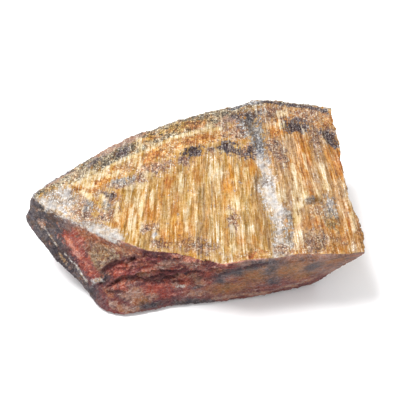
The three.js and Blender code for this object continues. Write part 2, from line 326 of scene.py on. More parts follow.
        (0.22, (3.8, 0.4), (2.0, -9.4)), (0.24, (33.9, 7.4), (33.6, 0.6), (33.4, -6.0)),
        (0.2, (5.7, 1.0), (4.4, -6.0)), (0.4, (26.4, -9.0), (29.4, -8.0), (30.6, -10.4)),
    ),
    Mark.SUNK: spots(
        (28.6, -8.8, 2.2, 1.0, -22), (28.6, 12.8, 2.8, 1.7, -8), (36.4, 8.4, 1.4, 2.8, 20),
        (10.8, 9.8, 3.2, 1.6, -10), (2.9, 9.9, 2.4, 1.3), (19.0, 16.0, 1.8, 4.0),
    ) + trails(
        (2.0, (18.0, 7.6), (18.8, 4.0), (18.6, 0.2)),
        (2.6, (18.0, -1.0), (18.0, -5.0), (18.6, -9.0), (19.0, -12.0), (18.4, -16.0), (17.5, -21.2)),
    ),
}

# On the front, in elevation (x, z). The layered rock lies between LAYERS_TOP and LAYERS_FOOT, and
# its layers follow BED.
BED: Line = (
    (-40, -12), (-30, -2.5), (-25, 3.2), (-22, 6.6), (-19, 9.2), (-15, 11.2), (-10, 11.6), (-5, 12.0),
    (0, 14.0), (4, 17.2), (10, 19.0), (40, 24.0),
)
LAYERS_TOP: Line = (
    (-27, 3.0), (-25, 5.5), (-22.6, 9.3), (-19.3, 12.6), (-17, 14.2), (-14.6, 15.6), (-12, 18.4),
    (-8, 19.2), (4, 19.2), (8, 17.6), (14, 17.4),
)
LAYERS_FOOT: Line = (
    (-27, 3.4), (-22, 6.4), (-18.4, 8.0), (-15, 8.8), (-11, 8.0), (-6, 7.6), (-3, 7.2), (0.6, 9.2),
    (3.1, 11.3), (6, 14.7), (9.3, 16.4), (14, 17.2),
)
ELEVATION: Drawing = {
    Mark.MAROON: spots(
        (-20.6, 10.8, 2.0, 1.3, 30), (-15.0, 13.0, 1.8, 1.0, 20), (-24.0, 5.0, 1.8, 1.6),
        (-20.6, 0.9, 5.0, 1.0, -4), (-23.6, 3.6, 3.0, 2.0, -20), (-11.0, 4.4, 2.6, 1.2),
        (-8.6, 5.6, 4.4, 2.2), (-6.0, 11.0, 5.0, 1.8, 8), (-17.0, 10.6, 3.6, 1.2, 25),
        (0.0, 10.8, 2.4, 2.0, 35), (-24.8, 9.4, 1.6, 1.2),
    ) + trails(
        (1.3, (-29.6, 11.6), (-28.0, 9.2), (-26.6, 7.4), (-25.6, 5.6), (-24.0, 3.6)),
        (1.5, (-13.0, 17.4), (-9.0, 16.8), (-6.4, 16.8)),
    ),
    Mark.RED: spots(
        (-27.8, 15.6, 2.0, 1.7, -20), (-8.4, 4.4, 1.8, 0.9), (-12.0, 7.4, 2.0, 0.8),
        (-9.6, 6.4, 3.2, 1.6), (1.2, 11.2, 1.5, 2.2), (-18.4, 11.4, 3.0, 1.3, 35),
        (-3.9, 8.2, 1.6, 1.3), (-11.8, 11.8, 1.8, 0.9, 10), (-12.2, 12.4, 1.8, 1.2),
        (-19.2, 7.2, 1.8, 1.0), (-12.6, 6.2, 1.2, 0.9),
    ) + trails(
        (1.6, (-29.4, 14.8), (-28.2, 13.2), (-26.7, 11.0), (-25.2, 8.3)),
    ),
    Mark.PINK: spots(
        (-16.4, 5.6, 3.0, 2.2), (-18.6, 2.2, 3.0, 1.1, -8), (-0.6, 9.0, 1.8, 1.3, 35),
        (-21.2, 3.2, 1.2, 0.7), (-35.2, 15.6, 1.0, 1.1), (-7.2, 15.0, 1.9, 1.0), (-2.6, 15.8, 2.4, 1.6),
        (-13.0, 10.6, 1.5, 0.8), (-3.4, 17.8, 2.2, 0.8), (-2.0, 9.8, 1.6, 1.2, 35),
        (-11.6, 4.8, 1.6, 1.0), (-5.0, 10.0, 1.2, 0.6, 20), (-6.2, 6.9, 1.1, 1.3),
        (-1.6, 4.6, 2.4, 0.9), (-11.4, 11.5, 1.5, 0.7), (-0.9, 8.8, 1.6, 0.9, 20),
    ) + trails(
        (0.6, (-11.4, 12.2), (-9.6, 13.0), (-7.4, 13.4)),
        (0.8, (3.0, 2.4), (8.0, 2.7), (14.0, 2.7), (21.0, 3.6), (27.0, 5.8)),
    ),
    Mark.OCHRE: spots(
        (12.0, 12.0, 4.2, 3.4, 10), (6.4, 6.4, 4.8, 2.3, 10), (20.4, 13.4, 4.6, 3.0, 30),
        (23.6, 9.0, 2.6, 1.8, 20), (29.6, 15.4, 3.6, 1.6, 15), (-14.4, 3.8, 2.0, 1.0),
    ),
    Mark.RUST: spots(
        (-24.6, 17.0, 5.4, 2.0), (-18.4, 16.8, 4.6, 1.7), (-27.6, 16.6, 1.6, 1.4),
        (-12.6, 6.2, 1.5, 1.2), (-19.2, 7.4, 1.4, 0.9), (-4.2, 8.0, 1.3, 1.0),
        (-6.4, 15.2, 2.0, 0.7, 8), (-17.0, 12.6, 1.6, 0.9, 30), (-13.0, 13.0, 1.4, 0.7),
        (3.8, 14.6, 2.0, 0.9, 30), (-3.4, 17.4, 3.0, 0.9), (-21.8, 5.4, 1.2, 0.8),
    ),
    Mark.QUARTZ: trails(
        (0.25, (-35.2, 15.6), (-34.0, 13.8), (-32.6, 12.0)),
        (0.25, (-31.0, 10.4), (-28.7, 8.7), (-26.6, 5.8)),
        (0.4, (-25.6, 6.0), (-24.4, 6.8), (-23.2, 7.2)), (0.35, (-5.8, 6.6), (-4.2, 7.0)),
    ),
    # The facets along the brow, seen from the front: partly milky quartz and partly a painted reflection
    # of the light on their glossy faces.
    Mark.MILK: trails((0.6, (-24.6, 19.4), (-22.0, 19.1), (-19.0, 18.7))),
    # Painted highlights: pale glints on the red facet and along the rim of the front.
    Mark.PALE: spots(
        (-4.4, 9.6, 0.7, 0.5), (-17.0, 8.4, 0.9, 0.4, 20),
    ) + trails(
        (0.7, (-29.6, 14.6), (-28.7, 13.0), (-27.5, 11.2)), (0.4, (-26.4, 10.2), (-25.4, 8.6)),
        (0.4, (-16.6, 13.2), (-15.6, 13.0)), (0.6, (-6.2, 17.5), (-2.0, 17.7)),
        (0.3, (-10.4, 13.0), (-8.6, 13.7), (-6.4, 13.8)), (0.5, (-13.4, 11.6), (-10.8, 12.0)),
    ),
    Mark.CRUST: spots((-35.4, 15.4, 1.3, 1.5)),
    Mark.OLIVE: spots(
        (-21.8, 13.8, 3.8, 2.4, 20), (-24.2, 11.6, 1.6, 3.0), (-31.6, 9.0, 1.2, 0.4, -48),
    ),
    Mark.SLATE: spots(
        (-32.4, 16.4, 4.0, 3.8), (-1.0, 7.2, 1.4, 0.6, 25), (-23.4, 7.6, 1.4, 1.0),
        (-28.6, 8.0, 1.6, 1.4), (-32.2, 13.4, 1.6, 2.6), (4.2, 9.6, 1.3, 1.1),
        (8.0, 13.8, 1.3, 2.0, 20), (15.4, 14.4, 1.6, 3.0, -20), (14.0, 17.4, 3.8, 1.0),
        (16.6, 8.8, 1.6, 2.2), (25.4, 13.6, 2.0, 2.6, -20), (-22.8, 7.6, 2.4, 1.0, 30),
        (-12.6, 2.2, 3.6, 1.0),
    ) + trails(
        (1.5, (3.0, 11.6), (6.4, 14.4), (9.0, 15.8), (12.0, 16.6)), (1.3, (-6.0, 1.6), (2.0, 1.2)),
        (3.6, (-39.0, 15.0), (-37.0, 13.2), (-34.0, 10.5), (-30.0, 7.0), (-27.0, 3.6)),
    ),
    Mark.CRACK: trails(
        (0.5, (-22.6, 9.4), (-20.6, 11.4), (-19.0, 12.5)),
        (0.35, (-18.4, 12.9), (-15.4, 14.6), (-14.0, 15.6)),
        (0.8, (-12.6, 17.4), (-10.2, 17.2), (-8.1, 16.8), (-5.6, 16.9)),
        (0.45, (-24.0, 6.2), (-21.5, 7.6), (-18.8, 8.6)),
        (0.3, (-17.6, 9.2), (-15.3, 9.9), (-13.4, 9.3)),
        (0.4, (-13.0, 8.7), (-10.6, 8.6), (-8.7, 8.9), (-6.4, 9.4)),
        (0.36, (-5.6, 9.9), (-3.6, 10.6), (-1.6, 12.0), (0.6, 13.8), (2.9, 15.6)),
        (0.32, (-11.4, 11.7), (-9.0, 11.0), (-6.6, 11.3), (-3.7, 13.0)),
        (0.5, (1.0, 9.6), (3.1, 11.3), (6.0, 14.6), (9.3, 16.4), (14.0, 17.0)),
        (0.28, (-11.6, 14.6), (-8.0, 14.2), (-4.6, 15.0), (-1.0, 16.9)),
        (0.3, (-22.0, 5.4), (-19.6, 6.2), (-18.2, 6.0)),
    ),
}

# On the back, in elevation (x, z).
REAR: Drawing = {
    Mark.CRUST: spots(
        (32.0, 11.0, 5.0, 3.0, 20), (-4.0, 13.6, 4.0, 1.6, 8),
    ) + trails(
        (4.6, (-10, 20.5), (0, 21.5), (14, 24.0), (28, 25.0), (40, 24.0)),
    ),
    Mark.LAYERS: trails((2.6, (-27, 6.5), (-16, 9.4), (-6, 9.8), (6, 8.6), (12, 10.6))),
    Mark.MAROON: spots((-29.0, 12.0, 4.0, 3.0)) + trails((1.3, (-20, 6.2), (-8, 6.0), (4, 5.8))),
    Mark.OCHRE: spots(
        (19.0, 13.0, 7.0, 3.4, 12), (3.0, 16.0, 4.4, 2.0), (31.0, 5.6, 5.0, 2.2),
        (12.0, 4.0, 5.0, 2.0, -8),
    ),
    Mark.SLATE: spots(
        (11.0, 16.6, 4.6, 2.0, 10), (27.0, 12.0, 3.0, 4.6, -15), (-31.0, 8.0, 4.0, 2.6, 30),
    ) + trails(
        (1.7, (-24, 2.0), (-8, 1.4), (10, 1.2), (24, 2.0), (34, 4.0)),
    ),
    Mark.OLIVE: spots((-7.0, 16.2, 4.0, 1.7), (20.0, 7.0, 3.6, 1.8)),
    Mark.PINK: spots((-19.0, 14.2, 4.4, 2.0, 15), (-4.0, 3.4, 4.6, 1.4)),
    Mark.RED: spots((-14.0, 11.8, 3.4, 1.5, 15), (-24.0, 10.0, 2.6, 1.8)),
    Mark.RUST: spots((7.0, 18.8, 3.6, 1.4), (25.0, 18.0, 5.0, 1.7), (-20.0, 17.4, 5.0, 1.3)),
    Mark.QUARTZ: trails((0.4, (15, 18.0), (17.4, 13.0))),
    Mark.CRACK: trails(
        (0.45, (-22, 6.6), (-12, 7.6), (2, 7.0), (10, 9.4)),
        (0.4, (-18, 12.0), (-6, 12.2), (6, 13.4), (16, 12.2)), (0.4, (22, 4.2), (29, 8.6), (37, 9.6)),
    ),
}
# On the right end, as (y, z). Fibres lie above END_FOOT.
END_FOOT: Line = (
    (-24, 13.5), (-18, 10.8), (-12, 8.6), (-6, 10.2), (0, 6.6), (6, 5.6), (12, 8.4), (18, 9.8),
    (24, 13),
)
END: Drawing = {
    Mark.RUST: spots((-14.0, 12.6, 5.0, 2.0, 10), (8.0, 10.6, 6.0, 2.0, -8), (17.0, 18.0, 3.4, 3.0)),
    Mark.UMBER: spots((-2.0, 12.4, 5.4, 2.2), (12.0, 14.0, 4.4, 2.0, 15), (-18.0, 16.4, 3.0, 1.6)),
    Mark.OXIDE: spots((8.6, 20.4, 3.4, 1.8), (-6.0, 9.8, 3.0, 1.2)),
    Mark.AMBER: spots((-8.0, 17.4, 6.0, 1.8), (4.0, 16.4, 5.4, 1.6)),
    Mark.SHADE: spots((-14.0, 18.6, 5.0, 1.4), (10.0, 12.0, 6.0, 1.4)),
    Mark.QUARTZ: trails((0.8, (-16, 14.8), (-6, 15.0), (2, 13.8))),
    Mark.CREAM: trails((0.6, (-12, 18.8), (-4, 19.0)), (0.6, (2, 17.6), (10, 18.0))),
    Mark.OCHRE: spots((-6.0, 4.6, 6.0, 2.4, -10), (12.0, 3.4, 5.0, 2.0)),
    Mark.SLATE: spots((3.0, 3.0, 4.0, 1.8), (-14.0, 6.4, 4.0, 2.2)),
    Mark.CRACK: trails((0.4, (-20, 12.8), (-8, 12.0), (4, 9.0), (14, 11.0))),
}
# On the sole, in plan (x, y).
SOLE: Drawing = {
    Mark.OCHRE: spots((10.0, -8.0, 8.0, 3.6, 20), (-14.0, 2.0, 6.0, 3.0, -15), (26.0, 7.0, 6.0, 4.0)),
    Mark.SLATE: spots((-4.0, -5.0, 7.0, 2.6, 10), (18.0, 8.0, 5.0, 2.6, -20), (-22.0, -2.0, 4.0, 3.0)),
    Mark.CRUST: spots((3.0, 8.0, 6.0, 2.6, 12), (28.0, -5.0, 5.0, 2.6)),
    Mark.MAROON: spots((-10.0, -8.0, 6.0, 2.0, 8), (-20.0, 6.0, 5.0, 2.0)),
}


def height_on(line: Line, a: np.ndarray) -> np.ndarray:
    """The second coordinate of a line, read at each first coordinate."""
    return np.interp(a, [place[0] for place in line], [place[1] for place in line])


def smooth_step(value: np.ndarray, low: float, high: float) -> np.ndarray:
    """A smooth rise from 0 at low to 1 at high."""
    share = np.clip((value - low) / (high - low), 0, 1)
    return share * share * (3 - 2 * share)


def inside(value: np.ndarray, low: float, high: float) -> np.ndarray:
    """How far each value lies between low and high, and less than 0 outside."""
    return np.minimum(value - low, high - value)


# Where one side of the stone gives way to the next, as a range of the normal's part that way.
TOP_FACING = (0.3, 0.6)
SOLE_FACING = (0.7, 0.85)
RIGHT_FACING = (0.55, 0.75)
BACK_FACING = (0.1, 0.3)
BROW_FADE = (-0.6, 0.6)  # the top starts over this distance behind the brow


@dataclass(frozen=True)
class Faces:
    """How much each point of the skin belongs to each side of the stone, from 0 to 1."""

    top: np.ndarray
    right: np.ndarray
    back: np.ndarray
    sole: np.ndarray
    front: np.ndarray

    @staticmethod
    def of(places: np.ndarray, normals: np.ndarray) -> "Faces":
        """Shares the skin out by where it is and which way it faces.

        Args:
            places: Points of the skin.
            normals: Their outward normals.

        Returns:
            The five shares, which add up to 1.
        """
        behind_brow = places[:, 1] - height_on(BROW, places[:, 0])
        top = smooth_step(normals[:, 2], *TOP_FACING) * smooth_step(behind_brow, *BROW_FADE)
        sole = smooth_step(-normals[:, 2], *SOLE_FACING)
        left = 1 - top - sole
        right = smooth_step(normals[:, 0], *RIGHT_FACING) * left
        back = smooth_step(normals[:, 1], *BACK_FACING) * (left - right)
        return Faces(top, right, back, sole, left - right - back)


@dataclass(frozen=True)
class Marker:
    """Works out every mark at every point of the skin.

    The fibres spread like a fan from fan_root, and climb by rise. A name ending in _fade says over
    how many millimetres a mark's edge goes from its rim to its full strength.
    """

    fan: float = 0.197
    fan_fall: float = 0.0055
    fan_root: float = -5.0
    rise: float = 0.155

    share_gain: float = 4.0
    share_loss: float = 1.6

    crust_fade: float = 2.5
    rust_fade: float = 2.0
    pale_strength: float = 0.45
    pale_half: float = 0.9
    pale_ends: tuple[float, float] = (-27.0, 11.0)
    dull_from: float = 19.5
    dull_fade: float = 3.0

    end_fade: float = 2.0
    end_dull: float = 0.4

    layers_fade: float = 1.2
    jasper_from: float = -1.0
    jasper_slope: float = 0.5
    jasper_fade: float = 3.0
    tip: float = -32.6
    tip_fade: float = 2.0
    gleam_ends: tuple[float, float] = (-30.0, 16.0)
    gleam_fade: float = 4.0
    gleam_share: float = 0.3
    gleam_narrow: float = 8.0
    rim_foot: float = 19.0
    rim_ends: tuple[float, float] = (-35.0, -18.0)
    rim_fade: float = 1.2

    hidden_red_to: float = -14.0
    hidden_red_fade: float = 12.0

    def grain(self, places: np.ndarray) -> np.ndarray:
        """Coordinates that follow the fibres.

        Args:
            places: Points of the skin.

        Returns:
            For each point: the distance across the fibres, along them, and through them.
        """
        x, y, z = places.T
        reach = y - self.fan_root
        across = (x - self.fan * reach) / (1 - self.fan_fall * reach)
        return np.stack((across, y, z - self.rise * y), axis=1)

    @staticmethod
    def bed(places: np.ndarray) -> np.ndarray:
        """Coordinates that follow the layers of the front, with the height over the bed last."""
        x, y, z = places.T
        return np.stack((x, y, z - height_on(BED, x)), axis=1)

    def marks(self, places: np.ndarray, normals: np.ndarray) -> dict[Mark, np.ndarray]:
        """How strong each mark is: 1 in its middle, a half on its rim, and 0 well outside.

        Args:
            places: Points of the skin.
            normals: Their outward normals.

        Returns:
            One value a point for each mark.
        """
        x, y, z = places.T
        faces = Faces.of(places, normals)
        depth = {mark: np.full(len(x), -1.0) for mark in Mark}

        def lay(mark: Mark, nearness: np.ndarray, share: np.ndarray) -> None:
            """Adds a mark where a side has its share.

            Args:
                mark: The mark.
                nearness: How deep each point is in it.
                share: How much each point belongs to the side.
            """
            shared = self.share_gain * share - self.share_loss
            held = np.minimum(np.clip(nearness, -1, 1), shared)
            depth[mark] = np.maximum(depth[mark], held)

        everywhere = np.ones(len(x))
        sides = (
            (PLAN, faces.top, x, y),
            (ELEVATION, faces.front, x, z),
            (REAR, faces.back, x, z),
            (END, faces.right, y, z),
            (SOLE, faces.sole, x, y),
        )
        for drawing, share, a, b in sides:
            for mark, shapes in drawing.items():
                for shape in shapes:
                    lay(mark, shape.nearness(a, b), share)
        above = y - height_on(PALE_LINE, x)
        pale_from, pale_to = self.pale_ends
        pale = self.pale_strength - np.abs(above) / self.pale_half - (x > pale_to) - (x < pale_from)
        rusty = np.minimum(y - height_on(RUST_FOOT, x), -above)
        lay(Mark.CRUST, above / self.crust_fade, faces.top)
        lay(Mark.PALE, pale, faces.top)
        lay(Mark.RUST, rusty / self.rust_fade, faces.top)
        lay(Mark.DULL, (x - self.dull_from) / self.dull_fade, faces.top)
        lay(Mark.FIBRE, everywhere, faces.top)

        lay(Mark.FIBRE, (z - height_on(END_FOOT, y)) / self.end_fade, faces.right)
        lay(Mark.DULL, self.end_dull * everywhere, faces.right)

        layered = np.minimum(height_on(LAYERS_TOP, x) - z, z - height_on(LAYERS_FOOT, x))
        under_bed = height_on(BED, x) - self.jasper_slope * (x - self.jasper_from) - z
        on_rim = np.minimum(z - self.rim_foot, inside(x, *self.rim_ends))
        lay(Mark.LAYERS, layered / self.layers_fade, faces.front)
        lay(Mark.JASPER, under_bed / self.jasper_fade, faces.front)
        lay(Mark.SLATE, (self.tip - x) / self.tip_fade, faces.front)
        lay(Mark.QUARTZ, on_rim / self.rim_fade, faces.front)

        # Painted highlight: a pale band along the brow, where the top turns down into the front.
        edge = 1.0 - self.gleam_narrow * np.abs(faces.top - self.gleam_share)
        gleam = np.minimum(edge, inside(x, *self.gleam_ends) / self.gleam_fade)
        lay(Mark.PALE, gleam, np.minimum(faces.front + faces.top, 1))

        for share in (faces.back, faces.sole):
            lay(Mark.JASPER, (self.hidden_red_to - x) / self.hidden_red_fade, share)
        return {mark: 0.5 + 0.5 * value for mark, value in depth.items()}


# ---------------------------------------------------------------- node trees


@dataclass(frozen=True)
class Tone:
    """A colour, as red, green and blue from 0 to 255 on a screen."""

    red: int
    green: int
    blue: int

    @property
    def linear(self) -> tuple[float, float, float, float]:
        """The same colour in linear light.

        Returns:
            Red, green, blue and an alpha of 1.
        """
        parts = []
        for level in (self.red, self.green, self.blue):
            share = level / 255
            parts.append(share / 12.92 if share <= 0.04045 else ((share + 0.055) / 1.055) ** 2.4)
        return (*parts, 1.0)


Stops = tuple[tuple[float, Tone], ...]


def tones(*rows: tuple[float, int, int, int]) -> Stops:
    """The stops of a ramp, each a row of its place from 0 to 1 and its colour."""
    return tuple((place, Tone(*colour)) for place, *colour in rows)


# A mix node has a pair of inputs for each kind of value.
MIX_NUMBERS = (2, 3)
MIX_COLOURS = (6, 7)
MIXED_COLOUR = 2


class Graph:
    """Adds nodes to a shader or geometry node tree, and joins them."""

    def __init__(self, tree: bpy.types.NodeTree) -> None:
        """Starts on a tree."""
        self.tree = tree

    def add(self, kind: str, **settings: object) -> bpy.types.Node:
        """Adds a node and sets its properties.

        Args:
            kind: The node's type.
            settings: Its properties.

        Returns:
            The node.
        """
        node = self.tree.nodes.new(kind)
        for name, value in settings.items():
            setattr(node, name, value)
        return node

    def feed(self, socket: Socket, value: object) -> None:
        """Joins a socket to another, or gives it a plain value.

        Args:
            socket: The input.
            value: A socket or a value.
        """
        if isinstance(value, bpy.types.NodeSocket):
            self.tree.links.new(value, socket)
        else:
            socket.default_value = value

    def math(self, operation: str, *values: object) -> Socket:
        """One step of arithmetic on numbers.

        Args:
            operation: What is done.
            values: Sockets or values, in order.

        Returns:
            The result.
        """
        node = self.add("ShaderNodeMath", operation=operation)
        for socket, value in zip(node.inputs, values):
            self.feed(socket, value)
        return node.outputs[0]

    def vector_math(self, operation: str, *values: object) -> Socket:
        """One step of arithmetic on vectors.

        Args:
            operation: What is done.
            values: Sockets or values, in order.

        Returns:
            The result.
        """
        node = self.add("ShaderNodeVectorMath", operation=operation)
        for socket, value in zip(node.inputs, values):
            self.feed(socket, value)
        return node.outputs[0]

    def longer(self, vector: Socket, times: object) -> Socket:
        """A vector made longer or shorter.

        Args:
            vector: The vector.
            times: How many times as long it gets.

        Returns:
            The new vector.
        """
        node = self.add("ShaderNodeVectorMath", operation="SCALE")
        self.feed(node.inputs[0], vector)
        self.feed(node.inputs["Scale"], times)
        return node.outputs[0]

    def total(self, *terms: tuple[object, object]) -> Socket:
        """The sum of pairs, each multiplied together.

        Args:
            terms: The pairs.

        Returns:
            The sum.
        """
        result = self.math("MULTIPLY", *terms[0])
        for value, weight in terms[1:]:
            result = self.math("MULTIPLY_ADD", value, weight, result)
        return result

    def swing(self, *terms: tuple[object, float]) -> Socket:
        """The same sum for patterns, with what it would be at their middles taken off."""
        middle = sum(weight for value, weight in terms) / 2
        return self.math("SUBTRACT", self.total(*terms), middle)

    def span(self, value: object, low: float, high: float, smooth: bool = False) -> Socket:
        """A rise from 0 at low to 1 at high, held at both ends.

        Args:
            value: The number that is read.
            low: Where the rise starts.
            high: Where it ends, which may be lower.
            smooth: Whether it eases in and out.

        Returns:
            A number from 0 to 1.
        """
        kind = "SMOOTHSTEP" if smooth else "LINEAR"
        node = self.add("ShaderNodeMapRange", interpolation_type=kind, clamp=True)
        self.feed(node.inputs["Value"], value)
        node.inputs["From Min"].default_value = low
        node.inputs["From Max"].default_value = high
        return node.outputs["Result"]

    def blend(self, under: object, over: object, share: object, mode: str = "MIX") -> Socket:
        """Lays one colour over another by a share.

        Args:
            under: The colour below.
            over: The colour on top.
            share: How much of it, from 0 to 1.
            mode: How they mix.

        Returns:
            The colour that shows.
        """
        node = self.add("ShaderNodeMix", data_type="RGBA", blend_type=mode)
        self.feed(node.inputs["Factor"], share)
        for index, value in zip(MIX_COLOURS, (under, over)):
            self.feed(node.inputs[index], value)
        return node.outputs[MIXED_COLOUR]

    def blend_number(self, under: object, over: object, share: object) -> Socket:
        """Goes from one number to another by a share.

        Args:
            under: The number at 0.
            over: The number at 1.
            share: How far along, from 0 to 1.

        Returns:
            The number between them.
        """
        node = self.add("ShaderNodeMix", data_type="FLOAT")
        self.feed(node.inputs["Factor"], share)
        for index, value in zip(MIX_NUMBERS, (under, over)):
            self.feed(node.inputs[index], value)
        return node.outputs[0]

    def ramp(self, value: Socket, stops: Stops) -> Socket:
        """A colour that runs through tones as a number rises.

        Args:
            value: The number, from 0 to 1.
            stops: The tones, and where each of them is.

        Returns:
            The colour.
        """
        node = self.add("ShaderNodeValToRGB")
        self.feed(node.inputs["Fac"], value)
        band = node.color_ramp.elements
        while len(band) < len(stops):
            band.new(0.5)
        for element, (place, tone) in zip(band, stops):
            element.position = place
            element.color = tone.linear
        return node.outputs["Color"]


Pitch = tuple[float, float, float]


@dataclass
class Pattern:
    """The patterns that run through the rock, each a number from 0 to 1 with its middle at a half.

    The sizes beside each pattern are how far apart its parts are along each axis, in millimetres.
    """

    graph: Graph
    place: Socket
    grain: Socket
    bed: Socket

    def noise(
        self, place: Socket, pitch: Pitch, seed: float, detail: float, rough: float = 0.6
    ) -> Socket:
        """Soft noise.

        Args:
            place: The coordinates that it follows.
            pitch: How far apart its parts are along each axis.
            seed: What sets it apart from other noise.
            detail: How many finer layers it has.
            rough: How strong those are.

        Returns:
            A number, mostly from 0 to 1.
        """
        node = self.graph.add("ShaderNodeTexNoise", noise_dimensions="3D")
        self.graph.feed(node.inputs["Vector"], self.divided(place, pitch, seed))
        node.inputs["Scale"].default_value = 1.0
        node.inputs["Detail"].default_value = detail
        node.inputs["Roughness"].default_value = rough
        return node.outputs[0]

    def cells(self, place: Socket, pitch: Pitch, seed: float) -> Socket:
        """Grains, each with a level of its own.

        Args:
            place: The coordinates that they follow.
            pitch: How far apart they are along each axis.
            seed: What sets them apart from others.

        Returns:
            The level of the grain at each place.
        """
        node = self.graph.add("ShaderNodeTexVoronoi", voronoi_dimensions="3D", feature="F1")
        self.graph.feed(node.inputs["Vector"], self.divided(place, pitch, seed))
        node.inputs["Scale"].default_value = 1.0
        level = self.graph.add("ShaderNodeSeparateXYZ")
        self.graph.feed(level.inputs[0], node.outputs["Color"])
        return level.outputs["X"]

    def divided(self, place: Socket, pitch: Pitch, seed: float) -> Socket:
        """Places counted in pitches, and set off by a seed."""
        scale = tuple(1 / size for size in pitch)
        return self.graph.vector_math("MULTIPLY_ADD", place, scale, (seed, -seed, seed / 2))

    @cached_property
    def streak(self) -> Socket:
        """Broad streaks along the fibres."""
        return self.noise(self.grain, (0.85, 9.5, 3.0), 1.3, 2.0)

    @cached_property
    def strand(self) -> Socket:
        """Fine streaks along the fibres."""
        return self.noise(self.grain, (0.34, 4.4, 1.2), 5.9, 1.5)

    @cached_property
    def band(self) -> Socket:
        """Wide bands along the fibres."""
        return self.noise(self.grain, (3.4, 16.0, 6.0), 9.4, 1.5)

    @cached_property
    def hue(self) -> Socket:
        """Where the fibres turn warmer or greyer."""
        return self.noise(self.grain, (2.2, 10.0, 4.5), 31.7, 2.5)

    @cached_property
    def sliver(self) -> Socket:
        """Long splinters along the fibres."""
        return self.cells(self.shaken(self.grain), (0.6, 4.6, 1.5), 13.1)

    @cached_property
    def gap(self) -> Socket:
        """Thin dark lines between the fibres: painted shade in the gaps.

        Returns:
            A number, 1 in a gap and 0 away from it.
        """
        wave = self.noise(self.grain, (0.8, 5.0, 2.2), 41.9, 2.0)
        fold = self.graph.math("ABSOLUTE", self.graph.swing((wave, 1.0)))
        return self.graph.span(fold, 0.035, 0.0, True)

    @cached_property
    def grit(self) -> Socket:
        """Coarse grit."""
        return self.noise(self.place, (0.85, 0.85, 0.85), 3.1, 3.0, 0.65)

    @cached_property
    def fine(self) -> Socket:
        """Fine grit."""
        return self.noise(self.place, (0.36, 0.36, 0.36), 7.7, 2.0)

    @cached_property
    def dust(self) -> Socket:
        """Other fine grit."""
        return self.noise(self.place, (0.36, 0.36, 0.36), 21.3, 1.0)

    @cached_property
    def speck(self) -> Socket:
        """Mineral grains."""
        return self.cells(self.shaken(self.place), (0.62, 0.62, 0.62), 2.2)

    @cached_property
    def stain(self) -> Socket:
        """Where the grains turn warmer or greyer."""
        return self.noise(self.place, (1.3, 1.3, 1.3), 52.6, 3.0, 0.65)

    @cached_property
    def mottle(self) -> Socket:
        """Broad mottling."""
        return self.noise(self.place, (4.2, 4.2, 4.2), 12.2, 3.0)

    @cached_property
    def ragged(self) -> Socket:
        """What tears the edges of every mark."""
        return self.noise(self.place, (1.7, 1.7, 1.7), 17.5, 4.0, 0.65)

    @cached_property
    def lamina(self) -> Socket:
        """Thin layers along the bed."""
        return self.noise(self.shaken(self.bed), (3.2, 3.2, 0.5), 4.4, 3.0)

    @cached_property
    def seam(self) -> Socket:
        """Fine lines along the bed."""
        return self.noise(self.shaken(self.bed), (2.4, 2.4, 0.3), 61.3, 2.0)

    def shaken(self, place: Socket) -> Socket:
        """Places pushed about a little, so that cells lose their straight sides.

        Args:
            place: The coordinates.

        Returns:
            The new coordinates.
        """
        node = self.graph.add("ShaderNodeTexNoise", noise_dimensions="3D")
        self.graph.feed(node.inputs["Vector"], place)
        node.inputs["Scale"].default_value = 1.6
        node.inputs["Detail"].default_value = 1.0
        return self.graph.vector_math("MULTIPLY_ADD", node.outputs["Color"], (0.7, 0.7, 0.7), place)


# ---------------------------------------------------------------- finishes


@dataclass(frozen=True)
class FibreFinish:
    """Silky quartz fibres: streaks that run along the grain through several tones, with painted glints.
    """

    stops: Stops
    warm: Tone
    cool: Tone
    spark: Tone
    reach: float = 0.38

    def colour(self, graph: Graph, pattern: Pattern) -> Socket:
        """The colour of the fibres.

        Args:
            graph: The tree that it is added to.
            pattern: The patterns in the rock.

        Returns:
            A colour.
        """
        tone = graph.swing(
            (pattern.streak, 0.52),
            (pattern.strand, 0.36),
            (pattern.band, 0.24),
            (pattern.sliver, 0.22),
            (pattern.grit, 0.6),
            (pattern.fine, 0.16),
        )
        # Painted shade: darker in the thin gaps between the fibres.
        tone = graph.math("MULTIPLY_ADD", pattern.gap, -0.12, tone)
        colour = graph.ramp(graph.span(tone, -self.reach, self.reach), self.stops)
        warmth = graph.math("ADD", graph.swing((pattern.hue, 1.0), (pattern.speck, 0.12)), 0.5)
        colour = graph.blend(colour, self.warm.linear, graph.span(warmth, 0.54, 0.72), "MULTIPLY")
        colour = graph.blend(colour, self.cool.linear, graph.span(warmth, 0.46, 0.32), "MULTIPLY")
        # Painted glints: pale specks along the strands that stand in for highlights.
        glint = graph.swing((pattern.dust, 1.0), (pattern.strand, 0.7), (pattern.streak, 0.5))
        return graph.blend(colour, self.spark.linear, graph.span(glint, 0.2, 0.36, True))


